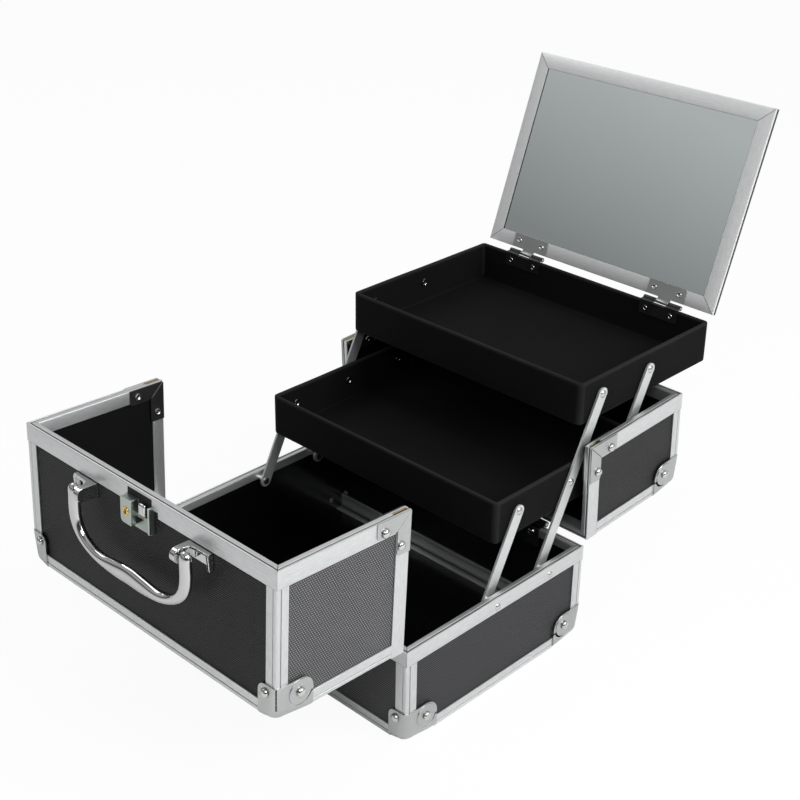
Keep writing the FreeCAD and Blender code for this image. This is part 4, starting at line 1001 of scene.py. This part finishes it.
noise.seed_set(uneven_seed)
for name, body in (("lower_tray", "tray_low"), ("upper_tray", "tray_high")):
    low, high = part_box(name)
    half, tall = (high - low) / 2, high.z - low.z
    middle = Vector((low.x + half.x, low.y + half.y, low.z))
    shell = [(floor_ring, 0, 0), (0, 0, foot_round), (0, ring_above, 0), (0, tall / 2, 0)]
    shell += [(0, tall - fold_below, 0), (0, tall, fold_round), (tray_wall, tall, fold_round)]
    shell += [(tray_wall, tall - fold_below, 0), (tray_wall, tall / 2, 0)]
    shell += [(tray_wall, tray_floor + ring_above, 0), (tray_wall, tray_floor, fold_round)]
    shell += [(tray_wall + floor_ring, tray_floor, 0)]
    bm = bmesh.new()
    sheen_and_wear_layer = bm.verts.layers.float.new("rubbed_and_sheen")
    rows = []
    for p in rounded(shell, 5):
        sheen_and_wear = rim_sheen_and_wear if p.y > tall - sheen_and_wear_below else no_sheen_or_wear
        if p.y < fold_near and p.x < fold_near:
            sheen_and_wear = foot_sheen_and_wear
        if p.y < tray_floor + fold_near and p.x > tray_wall:
            sheen_and_wear = never_sheen_or_wear
        radius = max(tray_round - p.x, least_round)
        rows.append(tray_ring(bm, middle, half.x - p.x, half.y - p.x, radius, p.y, sheen_and_wear, sheen_and_wear_layer))
    count = len(rows[0])
    for row, after in zip(rows, rows[1:]):
        for k in range(count):
            bm.faces.new((row[k - 1], row[k], after[k], after[k - 1]))
    bm.faces.new(rows[0])
    bm.faces.new(rows[-1])
    as_piece(finished_mesh(name + "_velvet", bm, velvet_smooth_below), velvet, body, "tray", name)
    bm = bmesh.new()
    for place, way, radius in fasteners(name + "_pivots", body):
        place.x = math.copysign(half.x - tray_wall - eyelet_sunk, place.x)
        add_round(bm, eyelet, place, Vector((-math.copysign(1, place.x), 0, 0)), eyelet_radius)
    mesh = finished_mesh(name + "_eyelets", bm, head_smooth_below)
    as_piece(mesh, polished_nickel, body, "hardware")

# Mirror: silvered glass and a hard backing in four mitred aluminium strips.
# The strips slope outwards, and a black band closes their edge.
silver = Finish("mirror_silver", {"Metallic": 1.0, "Roughness": 0.015})
haze = silver.noise(silver.place(), 12, 3)
silver.feed({"Base Color": silver.shade(haze, (0.77, 0.832, 0.832), (0.805, 0.872, 0.872))})
dress(("mirror_glass",), silver)
board = Finish("backing_board", {})
fibre = board.noise(board.place(), 500, 4)
board.feed({
    "Base Color": board.shade(fibre, (0.012, 0.012, 0.012), (0.030, 0.030, 0.030)),
    "Roughness": 0.6 + fibre * 0.2,
})
dress(("mirror_backing",), board)
low, high = drawn_box("mirror_frame", "mirror")
strip, strip_thick, strip_lip, slot_deep = 11.0 * mm, high.z - low.z, 0.8 * mm, 7.0 * mm
side_high, fall, set_back = 1.7 * mm, 0.5 * mm, 0.3 * mm
side_foot, slot_end, slot_foot = side_high + fall, strip - slot_deep, strip_thick - strip_lip
profile = [(set_back, strip_thick, soft), (set_back, side_foot, 0), (0, side_foot, 0.1 * mm)]
profile += [(0, fall, 0.6 * mm), (strip, 0, 0.15 * mm), (strip, strip_lip, 0), (slot_end, strip_lip, 0)]
profile += [(slot_end, slot_foot, 0), (strip, slot_foot, 0), (strip, strip_thick, soft)]
# A thin black ring under the strips' inner lip: painted shade along the glass's edge.
shade_ring_in, shade_ring_out = strip - 0.2 * mm, strip + 0.12 * mm
shade_ring_top, shade_ring_foot = 0.12 * mm, strip_lip - 0.02 * mm
lip_shade_ring = [(shade_ring_in, shade_ring_top, 0), (shade_ring_out, shade_ring_top, 0)]
lip_shade_ring += [(shade_ring_out, shade_ring_foot, 0), (shade_ring_in, shade_ring_foot, 0)]
band_out, band_in, band_foot = 0.05 * mm, 0.6 * mm, strip_thick - 0.2 * mm
edge_band = [(band_out, side_foot, 0), (band_out, band_foot, 0.2 * mm)]
edge_band += [(band_in, band_foot, 0), (band_in, side_foot, 0)]


def mirror_ring(name, corners, finish, slot, *nodes):
    bm = bmesh.new()
    outline = rounded(corners, 3)
    width, length = high.x - low.x, high.y - low.y
    add_bar(bm, outline, Vector((low.x, low.y, high.z)), Y, -Z, X, width, mitre, mitre)
    add_bar(bm, outline, Vector((low.x, high.y, high.z)), -Y, -Z, X, width, mitre, mitre)
    add_bar(bm, outline, Vector((high.x, low.y, high.z)), -X, -Z, Y, length, mitre, mitre)
    add_bar(bm, outline, Vector((low.x, low.y, high.z)), X, -Z, Y, length, mitre, mitre)
    as_piece(finished_mesh(name, bm, smooth_below), finish, "mirror", slot, *nodes)


strip_metal = satin("brushed_strip", 0.55, (0.72, 0.73, 0.735), (0.90, 0.915, 0.92))
mirror_ring("mirror_strips", profile, strip_metal, "mirror_frame", "mirror_frame")
mirror_ring("mirror_lip_shade", lip_shade_ring, black_steel, "backing")
mirror_ring("mirror_edge_band", edge_band, black_steel, "backing")
press(("mirror_hinge_leaves",), nickel, pressed_edge)
press(("tray_hinge_leaves",), black_steel, pressed_edge)
dress(("mirror_hinge_pins",), polished_nickel)
heads("mirror_screw_heads", "mirror", eyelet, 1.1, polished_nickel, "mirror_screws")
heads("tray_screw_heads", "tray_high", eyelet, 1.1, polished_nickel, "tray_hinge_screws")

# Floor: a plain pale table top under the case.
# The camera sees it nearly white, and the case still shades it.
floor_half, floor_below = 6.0, 0.2 * mm
bm = bmesh.new()
bmesh.ops.create_grid(bm, x_segments=8, y_segments=8, size=floor_half)
mesh = bpy.data.meshes.new("floor")
bm.to_mesh(mesh)
bm.free()
floor = bpy.data.objects.new("floor", mesh)
floor.location.z = -floor_below
bpy.context.scene.collection.objects.link(floor)
paper = Finish("floor_paper", {"Roughness": 0.9, "Specular IOR Level": 0.1})
tooth = paper.noise(paper.place(), 60, 3)
paper.feed({"Base Color": paper.shade(tooth, (0.86, 0.86, 0.86), (0.88, 0.88, 0.88))})
glow = paper.node("Emission", {}, {"Color": (1, 1, 1, 1), "Strength": 1.0})
seen = paper.node("LightPath", {}, {}).other("Is Camera Ray")
surface = Value(paper, paper.main.outputs[0])
both = paper.node("MixShader", {}, {0: seen * 0.94, 1: surface, 2: glow})
paper.join(paper.tree.nodes["Material Output"].inputs[0], both)
mesh.materials.append(paper.material)

# Studio: a white room at the back right that greys towards the front left and darkens behind the
# camera. A broad lamp stands on the right, and two weak ones light the front and the left.
world = bpy.data.worlds.new("studio")
bpy.context.scene.world = world
world.use_nodes = True
world.node_tree.nodes.clear()
studio = Shading(world.node_tree)
look = studio.node("TexCoord", {}, {}).other("Generated")
height = studio.node("SeparateXYZ", {}, {0: look}).other(2)


def facing(way):
    return studio.node("VectorMath", {"operation": "DOT_PRODUCT"}, {0: look, 1: way}).other("Value")


def ramp(value, *ends):
    names = ("From Min", "From Max", "To Min", "To Max")
    return studio.node("MapRange", {}, {"Value": value, **dict(zip(names, ends))})


white_side = ramp(facing((0.68, 0.68, 0.25)), -1.0, 0.8, 0.22, 0.72)
front_glow = ramp(height, 0.215, 0.32, 0.0, 0.22)
ceiling = ramp(height, 0.42, 0.65, 0.0, 0.30)
horizon = ramp(height, 0.02, 0.20, 0.25, 1.0)
dark_side = ramp(facing((0.62, -0.64, 0.46)), 0.70, 0.95, 1.0, 0.08)
room_light = (white_side + front_glow - ceiling).math("MINIMUM", 0.72) * dark_side * horizon
room = studio.node("Background", {}, {"Color": room_light, "Strength": 1.0})
white = studio.node("Background", {}, {"Color": (1, 1, 1, 1), "Strength": 1.0})
seen = studio.node("LightPath", {}, {}).other("Is Camera Ray")
both = studio.node("MixShader", {}, {0: seen, 1: room, 2: white})
studio.node("OutputWorld", {}, {0: both})


def lamp(name, place, size, power):
    light = bpy.data.lights.new(name, "AREA")
    light.size = size
    light.energy = power
    holder = bpy.data.objects.new(name, light)
    holder.location = place
    holder.rotation_euler = (case_middle - Vector(place)).to_track_quat("-Z", "Y").to_euler()
    bpy.context.scene.collection.objects.link(holder)


case_middle = Vector((0, 0, 0.1))
lamp("key", (1.3, 0.2, 1.2), 0.9, 20)
lamp("front", (0.75, -0.85, 1.05), 0.5, 5)
lamp("left", (-1.1, -0.35, 1.4), 0.8, 4)

# Camera: a long lens at the height of a person who stands by the table.
# It looks down on the case's front right corner, as in the photograph.
eye, lens = Vector((0.64488, -0.68686, 0.64112)), 68.66
azimuth, elevation, roll = math.radians(43.94), math.radians(27.26), math.radians(0.80)
flat_reach = math.cos(elevation)
back = Vector((math.sin(azimuth) * flat_reach, -math.cos(azimuth) * flat_reach, math.sin(elevation)))
right = Vector((math.cos(azimuth), math.sin(azimuth), 0))
up = back.cross(right)
view_x = right * math.cos(roll) + up * math.sin(roll)
view_y = up * math.cos(roll) - right * math.sin(roll)
camera = bpy.data.objects.new("camera", bpy.data.cameras.new("camera"))
camera.data.sensor_width = 36.0
camera.data.lens = lens
camera.matrix_world = Matrix((view_x, view_y, back)).transposed().to_4x4()
camera.matrix_world.translation = eye
bpy.context.scene.collection.objects.link(camera)
bpy.context.scene.camera = camera
bpy.context.scene.view_settings.view_transform = "Standard"
